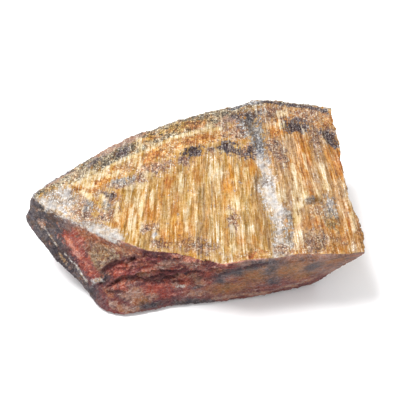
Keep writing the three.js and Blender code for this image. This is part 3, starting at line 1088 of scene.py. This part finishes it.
@dataclass(frozen=True)
class GrainFinish:
    """Granular rock: a speckle of tones, with dark pits and painted glints, pale specks that stand in
    for highlights.
    """

    stops: Stops
    spark: Tone
    warm: Tone = Tone(255, 226, 190)
    cool: Tone = Tone(206, 208, 220)
    sparks: float = 0.7
    pits: float = 0.5
    coarse: float = 0.5
    rough: float = 0.9
    layered: float = 0.0
    reach: float = 0.32

    def colour(self, graph: Graph, pattern: Pattern) -> Socket:
        """The colour of the grains.

        Args:
            graph: The tree that it is added to.
            pattern: The patterns in the rock.

        Returns:
            A colour.
        """
        terms = [(pattern.mottle, self.coarse)]
        if self.layered:
            terms += [(pattern.grit, 0.5), (pattern.lamina, self.layered)]
            terms += [(pattern.seam, 0.9 * self.layered)]
        else:
            terms += [(pattern.grit, self.rough), (pattern.fine, 0.2), (pattern.speck, 0.26)]
        tone = graph.swing(*terms)
        colour = graph.ramp(graph.span(tone, -self.reach, self.reach), self.stops)
        colour = graph.blend(colour, self.warm.linear, graph.span(pattern.stain, 0.5, 0.64), "MULTIPLY")
        colour = graph.blend(colour, self.cool.linear, graph.span(pattern.stain, 0.5, 0.36), "MULTIPLY")
        dust = graph.swing((pattern.seam if self.layered else pattern.dust, 1.0), (pattern.speck, 0.12))
        pit = graph.math("MULTIPLY", graph.span(dust, -0.09, -0.17, True), self.pits)
        colour = graph.blend(colour, self.stops[0][1].linear, pit)
        # Painted glints: pale specks that stand in for highlights.
        glint = graph.math("MULTIPLY", graph.span(dust, 0.09, 0.17, True), self.sparks)
        return graph.blend(colour, self.spark.linear, glint)


@dataclass(frozen=True)
class Layer:
    """One finish laid over the ones before it, where its mark is."""

    mark: Mark
    finish: FibreFinish | GrainFinish
    ragged: float = 1.0
    soft: float = 0.08
    strength: float = 1.0
    split: bool = False

    def over(self, graph: Graph, pattern: Pattern, under: Socket, field: Socket) -> Socket:
        """Lays the finish over a colour, with edges that are torn, or split along the fibres.

        Args:
            graph: The tree that it is added to.
            pattern: The patterns in the rock.
            under: The colour before.
            field: The mark, a half at its rim.

        Returns:
            The colour after.
        """
        if self.split:
            terms = (
                (pattern.streak, 1.5),
                (pattern.strand, 0.9),
                (pattern.sliver, 0.3),
                (pattern.grit, 0.4),
            )
        else:
            terms = ((pattern.ragged, 1.3), (pattern.speck, 0.45), (pattern.strand, 0.6))
        torn = graph.swing(*((part, weight * self.ragged) for part, weight in terms))
        edge = graph.math("ADD", torn, field)
        shown = graph.span(edge, 0.5 - self.soft, 0.5 + self.soft, smooth=True)
        share = graph.math("MULTIPLY", shown, self.strength)
        return graph.blend(under, self.finish.colour(graph, pattern), share)


@dataclass(frozen=True)
class Tint:
    """A stain that leaves the pattern under it showing."""

    mark: Mark
    tone: Tone
    strength: float = 1.0

    def over(self, graph: Graph, pattern: Pattern, under: Socket, field: Socket) -> Socket:
        """Stains a colour.

        Args:
            graph: The tree that it is added to.
            pattern: The patterns in the rock.
            under: The colour before.
            field: The mark, a half at its rim.

        Returns:
            The colour after.
        """
        torn = graph.swing((pattern.ragged, 0.8), (pattern.streak, 0.6), (pattern.sliver, 0.2))
        shown = graph.span(graph.math("ADD", torn, field), 0.3, 0.8, smooth=True)
        share = graph.math("MULTIPLY", shown, self.strength)
        return graph.blend(under, self.tone.linear, share, "MULTIPLY")


GOLD = FibreFinish(
    tones(
        (0.0, 140, 100, 52), (0.22, 178, 134, 74), (0.5, 206, 163, 99), (0.78, 232, 198, 140),
        (1.0, 254, 234, 196),
    ),
    warm=Tone(255, 222, 150), cool=Tone(216, 220, 210), spark=Tone(255, 250, 232),
)
DULL_GOLD = FibreFinish(
    tones(
        (0.0, 124, 88, 58), (0.25, 166, 124, 80), (0.55, 210, 168, 118), (0.8, 236, 206, 160),
        (1.0, 252, 238, 210),
    ),
    warm=Tone(255, 216, 150), cool=Tone(212, 210, 214), spark=Tone(255, 252, 244),
)
RUST = GrainFinish(
    tones((0.0, 122, 74, 42), (0.3, 176, 118, 64), (0.6, 216, 166, 104), (1.0, 252, 224, 172)),
    spark=Tone(255, 246, 220), warm=Tone(255, 222, 170), cool=Tone(206, 200, 208), sparks=0.8, pits=0.7,
    reach=0.28,
)
QUARTZ = GrainFinish(
    tones((0.0, 128, 112, 98), (0.3, 176, 162, 148), (0.65, 214, 204, 192), (1.0, 246, 242, 236)),
    spark=Tone(255, 255, 255), pits=0.6, sparks=0.8, coarse=0.9, reach=0.36,
)
MILK = GrainFinish(
    tones((0.0, 166, 152, 140), (0.5, 216, 208, 200), (1.0, 252, 250, 246)),
    spark=Tone(255, 255, 255), warm=Tone(255, 242, 224), cool=Tone(232, 236, 244), pits=0.15,
    sparks=0.3, coarse=1.0, reach=0.52,
)
CREAM = FibreFinish(
    tones((0.0, 178, 138, 82), (0.35, 226, 196, 142), (0.7, 250, 236, 204), (1.0, 255, 253, 242)),
    warm=Tone(255, 244, 214), cool=Tone(240, 238, 240), spark=Tone(255, 255, 248),
)
CRUST = GrainFinish(
    tones((0.0, 66, 58, 52), (0.3, 118, 104, 86), (0.6, 170, 152, 122), (1.0, 230, 212, 174)),
    spark=Tone(250, 242, 218), warm=Tone(255, 212, 166), cool=Tone(196, 198, 206), sparks=1.0, pits=0.9,
    reach=0.3,
)
UMBER = GrainFinish(
    tones((0.0, 78, 54, 50), (0.35, 130, 94, 78), (0.65, 178, 136, 104), (1.0, 226, 190, 150)),
    spark=Tone(250, 238, 216), sparks=0.7, pits=0.8, reach=0.3,
)
OXIDE = GrainFinish(
    tones((0.0, 34, 22, 30), (0.4, 60, 44, 50), (0.7, 94, 76, 76), (1.0, 156, 140, 132)),
    spark=Tone(224, 212, 202), sparks=0.5, reach=0.4,
)
SMOKY = GrainFinish(
    tones((0.0, 98, 94, 94), (0.5, 148, 144, 140), (1.0, 208, 204, 198)),
    spark=Tone(244, 240, 234),
)
STEEL = GrainFinish(
    tones((0.0, 60, 58, 64), (0.4, 104, 102, 106), (0.7, 148, 146, 148), (1.0, 210, 210, 210)),
    spark=Tone(240, 242, 246), sparks=0.8, reach=0.36,
)
WALL = GrainFinish(
    tones((0.0, 102, 76, 70), (0.5, 146, 112, 100), (1.0, 184, 150, 136)),
    spark=Tone(176, 154, 142), sparks=0.05, pits=0.2, coarse=1.4, layered=0.4, reach=0.56,
)
BURNT = GrainFinish(
    tones((0.0, 112, 56, 40), (0.5, 172, 104, 68), (1.0, 214, 152, 108)),
    spark=Tone(236, 190, 150), sparks=0.4,
)
JASPER = GrainFinish(
    tones((0.0, 86, 42, 48), (0.4, 122, 70, 70), (0.7, 150, 96, 88), (1.0, 190, 146, 134)),
    spark=Tone(226, 204, 192), sparks=0.4, pits=0.4, coarse=0.9, layered=0.7, reach=0.5,
)
LAYERS = GrainFinish(
    tones(
        (0.0, 76, 30, 42), (0.35, 124, 62, 66), (0.65, 164, 94, 82), (0.85, 196, 134, 110),
        (1.0, 228, 190, 162),
    ),
    spark=Tone(226, 192, 170), sparks=0.3, pits=0.4, coarse=0.6, layered=1.3, reach=0.48,
)
MAROON = GrainFinish(
    tones((0.0, 80, 30, 40), (0.5, 126, 58, 62), (1.0, 168, 100, 94)),
    spark=Tone(204, 146, 134), sparks=0.3, layered=1.0, reach=0.42,
)
RED = GrainFinish(
    tones((0.0, 112, 38, 38), (0.5, 166, 74, 62), (1.0, 218, 136, 112)),
    spark=Tone(240, 190, 172), sparks=0.3, pits=0.4, layered=0.7, reach=0.4,
)
PINK = GrainFinish(
    tones((0.0, 130, 88, 76), (0.5, 172, 132, 114), (1.0, 212, 180, 160)),
    spark=Tone(232, 214, 200), sparks=0.4, pits=0.15, layered=0.3, reach=0.42,
)
OCHRE = GrainFinish(
    tones((0.0, 118, 76, 44), (0.5, 160, 110, 62), (1.0, 192, 142, 90)),
    spark=Tone(196, 160, 122), sparks=0.1, pits=0.2, coarse=0.8, layered=0.3, reach=0.5,
)
OLIVE = GrainFinish(
    tones((0.0, 108, 78, 54), (0.45, 164, 132, 96), (1.0, 228, 208, 176)),
    spark=Tone(226, 208, 180), sparks=0.3, pits=0.3, coarse=1.0, rough=0.5, reach=0.34,
)
SLATE = GrainFinish(
    tones((0.0, 44, 42, 48), (0.5, 74, 70, 76), (1.0, 116, 108, 110)),
    spark=Tone(190, 186, 184), sparks=0.15, pits=0.3, coarse=1.0, rough=0.6, reach=0.46,
)
# Painted highlight on the front: a pale, glassy pink.
PAINTED_GLEAM = GrainFinish(
    tones((0.0, 186, 104, 86), (0.5, 216, 140, 118), (1.0, 244, 188, 168)),
    spark=Tone(246, 216, 204), sparks=0.3, pits=0.1, rough=0.5,
)
SHADOWED = FibreFinish(
    tones((0.0, 118, 82, 48), (0.5, 154, 114, 68), (1.0, 190, 150, 100)),
    warm=Tone(255, 226, 170), cool=Tone(216, 216, 218), spark=Tone(236, 214, 180),
)
CRACK = GrainFinish(
    tones((0.0, 58, 26, 36), (1.0, 102, 54, 58)),
    spark=Tone(110, 70, 70), sparks=0.0,
)

ON_WALL: tuple[Layer | Tint, ...] = (
    Layer(Mark.JASPER, JASPER, soft=0.2),
    Layer(Mark.LAYERS, LAYERS, ragged=0.5),
    Layer(Mark.CRUST, CRUST, ragged=1.0, soft=0.15),
    Layer(Mark.MAROON, MAROON, soft=0.2, strength=0.9),
    Layer(Mark.OCHRE, OCHRE, ragged=0.7, soft=0.4, strength=0.9),
    Layer(Mark.RUST, BURNT, soft=0.3, strength=0.9),
    Layer(Mark.SLATE, SLATE, ragged=0.6, soft=0.35, strength=0.92),
    Layer(Mark.OLIVE, OLIVE, soft=0.25, strength=0.9),
    Layer(Mark.PINK, PINK, ragged=0.8, soft=0.16, strength=0.92),
    Layer(Mark.RED, RED, soft=0.22, strength=0.9),
    Layer(Mark.CRACK, CRACK, ragged=1.3, soft=0.4, strength=0.75),
    # Painted highlights on the front.
    Layer(Mark.PALE, PAINTED_GLEAM, ragged=0.7, soft=0.45, strength=0.85),
    Layer(Mark.QUARTZ, QUARTZ, ragged=0.8, soft=0.25, strength=0.8),
    Layer(Mark.MILK, MILK, ragged=0.5, soft=0.2),
)
ON_FIBRE: tuple[Layer | Tint, ...] = (
    Layer(Mark.DULL, DULL_GOLD, soft=0.3),
    Layer(Mark.RUST, RUST, soft=0.2, strength=0.8),
    Layer(Mark.QUARTZ, QUARTZ, ragged=0.8, soft=0.25),
    Layer(Mark.CRUST, CRUST, ragged=0.6, soft=0.12),
    Layer(Mark.OLIVE, OLIVE, soft=0.3, strength=0.5),
    Layer(Mark.PINK, PINK, soft=0.2, strength=0.8),
    Layer(Mark.UMBER, UMBER, ragged=1.2, soft=0.18),
    Layer(Mark.SMOKY, SMOKY, soft=0.2, strength=0.9),
    Layer(Mark.SLATE, STEEL, soft=0.25, strength=0.92),
    Tint(Mark.AMBER, Tone(255, 218, 136), strength=0.85),
    Tint(Mark.SHADE, Tone(212, 206, 196), strength=0.7),
    Layer(Mark.OXIDE, OXIDE, ragged=1.1, soft=0.12),
    # Pale streaks and the pale line behind the rusty band, with a painted highlight along the brow.
    Layer(Mark.PALE, CREAM, ragged=0.6, soft=0.25, strength=0.9),
    Layer(Mark.CREAM, CREAM, ragged=1.1, soft=0.35, strength=0.7, split=True),
    Layer(Mark.CRACK, SHADOWED, ragged=1.0, soft=0.4, strength=0.7, split=True),
    Layer(Mark.MILK, MILK, ragged=0.7, soft=0.3, strength=0.95),
)


@dataclass(frozen=True)
class StoneFinish:
    """The whole skin: fibrous quartz over ironstone, with everything that is marked on them.

    The tones above are how bright each part looks in the studio, so they are divided by how much
    light falls on the top and on the sides. The hollows of the relief that the mesh carries, in
    millimetres, are darkened with painted shade over a span of relief depths.
    """

    name: str = "rough tigers eye"
    top_light: float = 1.36
    side_light: float = 1.4
    twinkle: float = 1.1
    gloss: float = 0.34
    matt: float = 0.6
    shine: float = 0.3
    relief_mm: float = 0.35
    fibre_edge: tuple[float, float] = (0.42, 0.58)
    fibre_tear: float = 0.3
    # Painted shade in the hollows of the relief: its span of depths, its darkest tone, and its strength
    # on the wall and on the fibres.
    painted_shade_reach: tuple[float, float] = (-0.9, 0.1)
    painted_shade_tone: Tone = Tone(160, 136, 120)
    wall_painted_shade: float = 0.7
    fibre_painted_shade: float = 0.5
    gloss_swing: float = 0.6
    calm_edge: tuple[float, float] = (0.4, 0.7)
    calm: float = 0.7
    least_light: float = 0.08
    darkest: tuple[float, float, float] = (0.006, 0.005, 0.005)

    def build(self) -> bpy.types.Material:
        """Makes the material.

        Returns:
            The material of the skin.
        """
        material = bpy.data.materials.new(self.name)
        material.use_nodes = True
        graph = Graph(material.node_tree)
        surface = material.node_tree.nodes["Principled BSDF"]
        surface.inputs["Specular IOR Level"].default_value = self.shine

        place = graph.longer(graph.add("ShaderNodeTexCoord").outputs["Object"], 1 / MM)
        grain = graph.add("ShaderNodeAttribute", attribute_name="grain").outputs["Vector"]
        bed = graph.add("ShaderNodeAttribute", attribute_name="bed").outputs["Vector"]
        pattern = Pattern(graph, place, grain, bed)
        field = {mark: self.value(graph, mark.value) for mark in Mark}

        wall = WALL.colour(graph, pattern)
        for coat in ON_WALL:
            wall = coat.over(graph, pattern, wall, field[coat.mark])
        fibre = GOLD.colour(graph, pattern)
        for coat in ON_FIBRE:
            fibre = coat.over(graph, pattern, fibre, field[coat.mark])
        edge = graph.math("ADD", field[Mark.FIBRE], graph.swing((pattern.ragged, self.fibre_tear)))
        fibrous = graph.span(edge, *self.fibre_edge)
        wall = graph.longer(wall, 1 / self.side_light)
        fibre = graph.longer(fibre, 1 / self.top_light)
        colour = self.sparkle(graph, pattern, graph.blend(wall, fibre, fibrous), fibrous)

        # Painted shade: the colour is darkened in the hollows of the relief, more on the wall than on
        # the fibres.
        painted_shade = graph.span(self.value(graph, "relief"), *self.painted_shade_reach)
        shade = graph.ramp(painted_shade, ((0.0, self.painted_shade_tone), (1.0, Tone(255, 255, 255))))
        depth = graph.blend_number(self.wall_painted_shade, self.fibre_painted_shade, fibrous)
        colour = graph.blend(colour, shade, depth, "MULTIPLY")
        graph.feed(surface.inputs["Base Color"], colour)
        rough = graph.blend_number(self.matt, self.gloss, fibrous)
        uneven = graph.swing((pattern.grit, self.gloss_swing))
        graph.feed(surface.inputs["Roughness"], graph.math("ADD", uneven, rough))
        graph.feed(surface.inputs["Normal"], self.bump(graph, pattern, fibrous))
        return material

    def sparkle(self, graph: Graph, pattern: Pattern, colour: Socket, fibrous: Socket) -> Socket:
        """Makes each tiny grain a little lighter or darker, with no change of hue.

        Args:
            graph: The tree that it is added to.
            pattern: The patterns in the rock.
            colour: The colour before.
            fibrous: How fibrous each place is.

        Returns:
            The colour after.
        """
        threads = graph.swing((pattern.strand, 0.9), (pattern.fine, 0.5))
        grains = graph.swing((pattern.fine, 1.0), (pattern.grit, 0.3))
        milky = graph.span(self.value(graph, Mark.MILK.value), *self.calm_edge)
        calm = graph.math("MULTIPLY_ADD", milky, -self.calm, 1.0)
        level = graph.math("MULTIPLY", graph.blend_number(grains, threads, fibrous), self.twinkle)
        level = graph.math("MULTIPLY", level, calm)
        bright = graph.add("ShaderNodeRGBToBW")
        graph.feed(bright.inputs[0], colour)
        step = graph.math("MULTIPLY", level, graph.math("ADD", bright.outputs[0], self.least_light))
        grey = graph.add("ShaderNodeCombineXYZ")
        for socket in grey.inputs:
            graph.feed(socket, step)
        lit = graph.vector_math("ADD", colour, grey.outputs[0])
        return graph.vector_math("MAXIMUM", lit, self.darkest)

    @staticmethod
    def value(graph: Graph, name: str) -> Socket:
        """Reads one number that the mesh carries."""
        return graph.add("ShaderNodeAttribute", attribute_name=name).outputs["Fac"]

    def bump(self, graph: Graph, pattern: Pattern, fibrous: Socket) -> Socket:
        """The finest relief: strands on the fibres and grains elsewhere.

        Args:
            graph: The tree that it is added to.
            pattern: The patterns in the rock.
            fibrous: How fibrous each place is.

        Returns:
            A normal.
        """
        strands = graph.swing((pattern.strand, 1.0), (pattern.streak, 0.8), (pattern.fine, 0.6))
        grains = graph.swing((pattern.grit, 0.8), (pattern.fine, 0.9))
        node = graph.add("ShaderNodeBump")
        node.inputs["Strength"].default_value = 1.0
        node.inputs["Distance"].default_value = self.relief_mm * MM
        graph.feed(node.inputs["Height"], graph.blend_number(grains, strands, fibrous))
        return node.outputs["Normal"]


# ---------------------------------------------------------------- relief


@dataclass(frozen=True)
class Relief:
    """Geometry nodes that break up the skin along its normals, by what is marked on it."""

    fibre_depth: float = 0.75
    splinter_depth: float = 0.45
    splinter_width: float = 1.9
    splinter_length: float = 10.0
    grain_depth: float = 1.0
    ledge_depth: float = 0.9
    ledge_pitch: float = 1.7
    crack_depth: float = 0.4
    sunk_depth: float = 0.9
    lump_depth: float = 0.6

    def apply(self, core: bpy.types.Object, skin: bpy.types.Material, name: str) -> bpy.types.Object:
        """Runs the tree on a marked core.

        Args:
            core: The smooth stone, with its marks as attributes.
            skin: The material that it gets.
            name: What the new piece is called.

        Returns:
            A plain mesh object with no modifier.
        """
        tree = self.tree()
        modifier = core.modifiers.new("relief", "NODES")
        modifier.node_group = tree
        values = self.sizes() | {"Skin": skin}
        for item in tree.interface.items_tree:
            if item.in_out == "INPUT" and item.name in values:
                modifier[item.identifier] = values[item.name]
        core.update_tag()
        evaluated = core.evaluated_get(bpy.context.evaluated_depsgraph_get())
        mesh = bpy.data.meshes.new_from_object(evaluated)
        core.modifiers.remove(modifier)
        mesh.name = name
        piece = bpy.data.objects.new(name, mesh)
        bpy.context.scene.collection.objects.link(piece)
        return piece

    def sizes(self) -> dict[str, float]:
        """Every size, by the name of its input: fibre_depth is "Fibre depth"."""
        return {name.replace("_", " ").capitalize(): size for name, size in asdict(self).items()}

    def tree(self) -> bpy.types.NodeTree:
        """Builds the node tree, with a named input for each size.

        Returns:
            The tree.
        """
        tree = bpy.data.node_groups.new("stone relief", "GeometryNodeTree")
        face = tree.interface
        face.new_socket("Geometry", in_out="INPUT", socket_type="NodeSocketGeometry")
        for name in self.sizes():
            face.new_socket(name, in_out="INPUT", socket_type="NodeSocketFloat")
        face.new_socket("Skin", in_out="INPUT", socket_type="NodeSocketMaterial")
        face.new_socket("Geometry", in_out="OUTPUT", socket_type="NodeSocketGeometry")

        graph = Graph(tree)
        given = graph.add("NodeGroupInput").outputs
        offset = self.offset(graph, given)
        store = graph.add("GeometryNodeStoreNamedAttribute", data_type="FLOAT", domain="POINT")
        graph.feed(store.inputs["Geometry"], given["Geometry"])
        graph.feed(store.inputs["Name"], "relief")
        graph.feed(store.inputs["Value"], offset)
        hollows = graph.span(self.named(graph, Mark.SUNK.value, "FLOAT"), 0.45, 0.75, True)
        offset = graph.math("SUBTRACT", offset, graph.math("MULTIPLY", hollows, given["Sunk depth"]))
        normal = graph.add("GeometryNodeInputNormal").outputs[0]
        move = graph.add("GeometryNodeSetPosition")
        graph.feed(move.inputs["Geometry"], store.outputs["Geometry"])
        graph.feed(move.inputs["Offset"], graph.longer(normal, graph.math("MULTIPLY", offset, MM)))
        realize = graph.add("GeometryNodeRealizeInstances")
        graph.feed(realize.inputs["Geometry"], move.outputs["Geometry"])
        dress = graph.add("GeometryNodeSetMaterial")
        graph.feed(dress.inputs["Geometry"], realize.outputs["Geometry"])
        graph.feed(dress.inputs["Material"], given["Skin"])
        graph.feed(graph.add("NodeGroupOutput").inputs["Geometry"], dress.outputs["Geometry"])
        return tree

    def offset(self, graph: Graph, given: bpy.types.NodeOutputs) -> Socket:
        """How far each point moves out, in millimetres.

        Args:
            graph: The tree that it is added to.
            given: The inputs of the tree.

        Returns:
            A distance along the normal.
        """
        field = {mark: self.named(graph, mark.value, "FLOAT") for mark in Mark}
        place = graph.longer(graph.add("GeometryNodeInputPosition").outputs[0], 1 / MM)
        grain = self.named(graph, "grain", "FLOAT_VECTOR")
        bed = self.named(graph, "bed", "FLOAT_VECTOR")
        pattern = Pattern(graph, place, grain, bed)

        fibrous = graph.span(field[Mark.FIBRE], 0.4, 0.7)
        stony = graph.span(field[Mark.RUST], 0.45, 0.8)
        for mark in (Mark.QUARTZ, Mark.CRUST, Mark.OXIDE, Mark.UMBER):
            stony = graph.math("MAXIMUM", stony, graph.span(field[mark], 0.4, 0.7))
        plain = graph.math("MULTIPLY_ADD", stony, -0.75, 1.0)
        silky = graph.math("MULTIPLY", fibrous, plain)
        layered = graph.span(field[Mark.LAYERS], 0.4, 0.8)
        broken = graph.math("MAXIMUM", layered, graph.math("MAXIMUM", stony, fibrous))
        red = graph.math("MULTIPLY", graph.span(field[Mark.JASPER], 0.4, 0.7), 0.6)
        broken = graph.math("MAXIMUM", broken, red)
        grainy = graph.math("MULTIPLY_ADD", broken, 0.7, 0.3)
        grainy = graph.math("MULTIPLY_ADD", silky, -0.65, grainy)

        grooves = graph.swing((pattern.streak, 1.0), (pattern.strand, 0.5))
        grooves = graph.math("MULTIPLY", graph.math("MULTIPLY", grooves, silky), given["Fibre depth"])
        plates = graph.math("MULTIPLY", self.plates(graph, grain, given), silky)
        grit = graph.swing((pattern.grit, 1.0), (pattern.ragged, 1.0))
        grit = graph.math("MULTIPLY", graph.math("MULTIPLY", grit, grainy), given["Grain depth"])
        ledges = graph.math("MULTIPLY", self.ledges(graph, pattern, given), layered)
        lumps = graph.math("MULTIPLY", graph.swing((pattern.mottle, 1.0)), given["Lump depth"])
        cracks = graph.math("MULTIPLY", graph.span(field[Mark.CRACK], 0.25, 0.95), given["Crack depth"])
        offset = grooves
        for term in (plates, grit, ledges, lumps):
            offset = graph.math("ADD", offset, term)
        return graph.math("SUBTRACT", offset, cracks)

    @staticmethod
    def named(graph: Graph, name: str, kind: str) -> Socket:
        """Reads a named attribute.

        Args:
            graph: The tree that it is added to.
            name: The attribute.
            kind: What type of value it holds.

        Returns:
            Its value.
        """
        node = graph.add("GeometryNodeInputNamedAttribute", data_type=kind)
        node.inputs["Name"].default_value = name
        return node.outputs["Attribute"]

    @staticmethod
    def plates(graph: Graph, grain: Socket, given: bpy.types.NodeOutputs) -> Socket:
        """Splinters that stand at different heights, long along the fibres.

        Args:
            graph: The tree that it is added to.
            grain: Coordinates that follow the fibres.
            given: The inputs of the tree.

        Returns:
            How far each splinter stands out, in millimetres.
        """
        size = graph.add("ShaderNodeCombineXYZ")
        graph.feed(size.inputs["X"], given["Splinter width"])
        graph.feed(size.inputs["Y"], given["Splinter length"])
        graph.feed(size.inputs["Z"], given["Splinter width"])
        cell = graph.add("ShaderNodeTexVoronoi", voronoi_dimensions="3D", feature="F1")
        graph.feed(cell.inputs["Vector"], graph.vector_math("DIVIDE", grain, size.outputs[0]))
        cell.inputs["Scale"].default_value = 1.0
        height = graph.add("ShaderNodeSeparateXYZ")
        graph.feed(height.inputs[0], cell.outputs["Color"])
        return graph.math("MULTIPLY", graph.swing((height.outputs["X"], 1.0)), given["Splinter depth"])

    @staticmethod
    def ledges(graph: Graph, pattern: Pattern, given: bpy.types.NodeOutputs) -> Socket:
        """Broken layers of rock that follow the bed, each at its own depth.

        Args:
            graph: The tree that it is added to.
            pattern: The patterns in the rock.
            given: The inputs of the tree.

        Returns:
            How far each layer stands out, in millimetres.
        """
        height = graph.add("ShaderNodeSeparateXYZ")
        graph.feed(height.inputs[0], pattern.bed)
        sway = graph.swing((pattern.mottle, 4.0), (pattern.ragged, 1.0))
        bent = graph.math("ADD", sway, height.outputs["Z"])
        count = graph.math("DIVIDE", bent, given["Ledge pitch"])
        pick = graph.add("ShaderNodeTexWhiteNoise", noise_dimensions="1D")
        graph.feed(pick.inputs["W"], graph.math("FLOOR", count))
        tilt = graph.math("SUBTRACT", 0.5, graph.math("FRACT", count))
        stand = graph.math("ADD", graph.swing((pick.outputs["Value"], 1.0), (pattern.lamina, 0.8)), tilt)
        return graph.math("MULTIPLY", stand, given["Ledge depth"])


# ---------------------------------------------------------------- the stone


@dataclass
class Stone:
    """The whole stone, as one skin of fine triangles.

    Edges sharper than crease_deg stay sharp, and the faces are about weave millimetres across.
    """

    node: str = "stone"
    body: str = "root"
    slot: str = "tigers_eye"
    name: str = "tigers_eye_stone"
    crease_deg: float = 34.0
    rounding: int = 1
    weave: float = 0.338
    merge_mm: float = 0.01

    def build(self) -> bpy.types.Object:
        """Makes the stone, dresses it and puts it on its body.

        Returns:
            The finished piece.
        """
        core = self.core()
        self.paint(core.data)
        piece = Relief().apply(core, StoneFinish().build(), self.name)
        bpy.data.objects.remove(core)
        self.settle(piece.data)
        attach(piece, self.body)
        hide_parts(self.node)
        log.info("%s: %d triangles", piece.name, triangles(piece.data))
        return piece

    def core(self) -> bpy.types.Object:
        """The solid's own shape, rounded between its sharp edges and cut into fine even faces.

        Returns:
            An object with no modifier.
        """
        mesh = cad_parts[self.node].data.copy()
        shape = bmesh.new()
        shape.from_mesh(mesh)
        bmesh.ops.remove_doubles(shape, verts=shape.verts, dist=self.merge_mm * MM)
        crease = shape.edges.layers.float.new("crease_edge")
        for edge in shape.edges:
            if edge.is_manifold and edge.calc_face_angle() > math.radians(self.crease_deg):
                edge[crease] = 1.0
        shape.to_mesh(mesh)
        shape.free()
        mesh.materials.clear()
        core = bpy.data.objects.new("core", mesh)
        bpy.context.scene.collection.objects.link(core)
        rounding = core.modifiers.new("rounding", "SUBSURF")
        rounding.levels = self.rounding
        rounding.render_levels = self.rounding
        weave = core.modifiers.new("weave", "REMESH")
        weave.mode = "VOXEL"
        weave.voxel_size = self.weave * MM
        weave.use_smooth_shade = True
        evaluated = core.evaluated_get(bpy.context.evaluated_depsgraph_get())
        fine = bpy.data.meshes.new_from_object(evaluated)
        core.modifiers.clear()
        core.data = fine
        return core

    @staticmethod
    def paint(mesh: bpy.types.Mesh) -> None:
        """Stores every mark, the grain and the bed on the points of a mesh.

        Args:
            mesh: The mesh that they are stored on.
        """
        places = points(mesh) / MM
        normals = np.empty(len(mesh.vertices) * 3)
        mesh.vertex_normals.foreach_get("vector", normals)
        marker = Marker()
        for mark, values in marker.marks(places, normals.reshape(-1, 3)).items():
            layer = mesh.attributes.new(mark.value, "FLOAT", "POINT")
            layer.data.foreach_set("value", values)
        for name, values in (("grain", marker.grain(places)), ("bed", marker.bed(places))):
            layer = mesh.attributes.new(name, "FLOAT_VECTOR", "POINT")
            layer.data.foreach_set("vector", values.ravel())

    @staticmethod
    def settle(mesh: bpy.types.Mesh) -> None:
        """Keeps every point in the box of the solid, so that the stone lies on its sole.

        Args:
            mesh: The mesh whose points are moved.
        """
        low, high = (np.array(corner) for corner in cad_box)
        held = np.clip(points(mesh), low, high)
        mesh.vertices.foreach_set("co", held.ravel())
        mesh.update()


def points(mesh: bpy.types.Mesh) -> np.ndarray:
    """The points of a mesh.

    Args:
        mesh: The mesh.

    Returns:
        One row a point, in metres.
    """
    places = np.empty(len(mesh.vertices) * 3)
    mesh.vertices.foreach_get("co", places)
    return places.reshape(-1, 3)


def triangles(mesh: bpy.types.Mesh) -> int:
    """How many triangles a mesh has."""
    return sum(len(face.vertices) - 2 for face in mesh.polygons)


# ---------------------------------------------------------------- the studio


@dataclass(frozen=True)
class Studio:
    """A white floor, soft light and the camera."""

    floor_half_m: float = 3.0
    target: tuple[float, float, float] = (3.70, 5.66, 10.0)
    azimuth: float = -10.0
    elevation: float = 50.0
    distance: float = 236.1
    lens: float = 85.0
    sky: float = 1.0
    key_watts: float = 6.0
    key_from_m: tuple[float, float, float] = (-0.25, 0.12, 0.72)
    key_size_m: float = 0.26

    def build(self) -> None:
        """Sets the stage."""
        self.floor()
        self.camera()
        self.light()

    def floor(self) -> None:
        """A broad white floor."""
        half = self.floor_half_m
        corners = [(-half, -half, 0), (half, -half, 0), (half, half, 0), (-half, half, 0)]
        mesh = bpy.data.meshes.new("floor")
        mesh.from_pydata(corners, [], [(0, 1, 2, 3)])
        paper = bpy.data.materials.new("white paper")
        paper.use_nodes = True
        surface = paper.node_tree.nodes["Principled BSDF"]
        surface.inputs["Base Color"].default_value = (0.93, 0.93, 0.94, 1)
        surface.inputs["Roughness"].default_value = 0.9
        surface.inputs["Specular IOR Level"].default_value = 0.0
        mesh.materials.append(paper)
        floor = bpy.data.objects.new("floor", mesh)
        bpy.context.scene.collection.objects.link(floor)

    def camera(self) -> None:
        """The camera, above the front and a little to the left."""
        turn, lift = math.radians(self.azimuth), math.radians(self.elevation)
        level = math.cos(lift)
        back = Vector((math.sin(turn) * level, -math.cos(turn) * level, math.sin(lift)))
        data = bpy.data.cameras.new("camera")
        data.lens = self.lens
        camera = bpy.data.objects.new("camera", data)
        camera.location = (Vector(self.target) + back * self.distance) * MM
        camera.rotation_euler = back.to_track_quat("Z", "Y").to_euler()
        bpy.context.scene.collection.objects.link(camera)
        bpy.context.scene.camera = camera

    def light(self) -> None:
        """A white sky, and one large lamp behind the stone's left end."""
        world = bpy.data.worlds.new("sky")
        world.use_nodes = True
        world.node_tree.nodes["Background"].inputs["Color"].default_value = (1, 1, 1, 1)
        world.node_tree.nodes["Background"].inputs["Strength"].default_value = self.sky
        bpy.context.scene.world = world
        data = bpy.data.lights.new("key", "AREA")
        data.energy = self.key_watts
        data.size = self.key_size_m
        key = bpy.data.objects.new("key", data)
        key.location = self.key_from_m
        key.rotation_euler = Vector(self.key_from_m).to_track_quat("Z", "Y").to_euler()
        bpy.context.scene.collection.objects.link(key)
        bpy.context.scene.view_settings.view_transform = "Standard"


def main() -> None:
    """Builds the stone and sets the stage."""
    logging.basicConfig(level=logging.INFO)
    Stone().build()
    Studio().build()


if __name__ == "__main__":
    main()
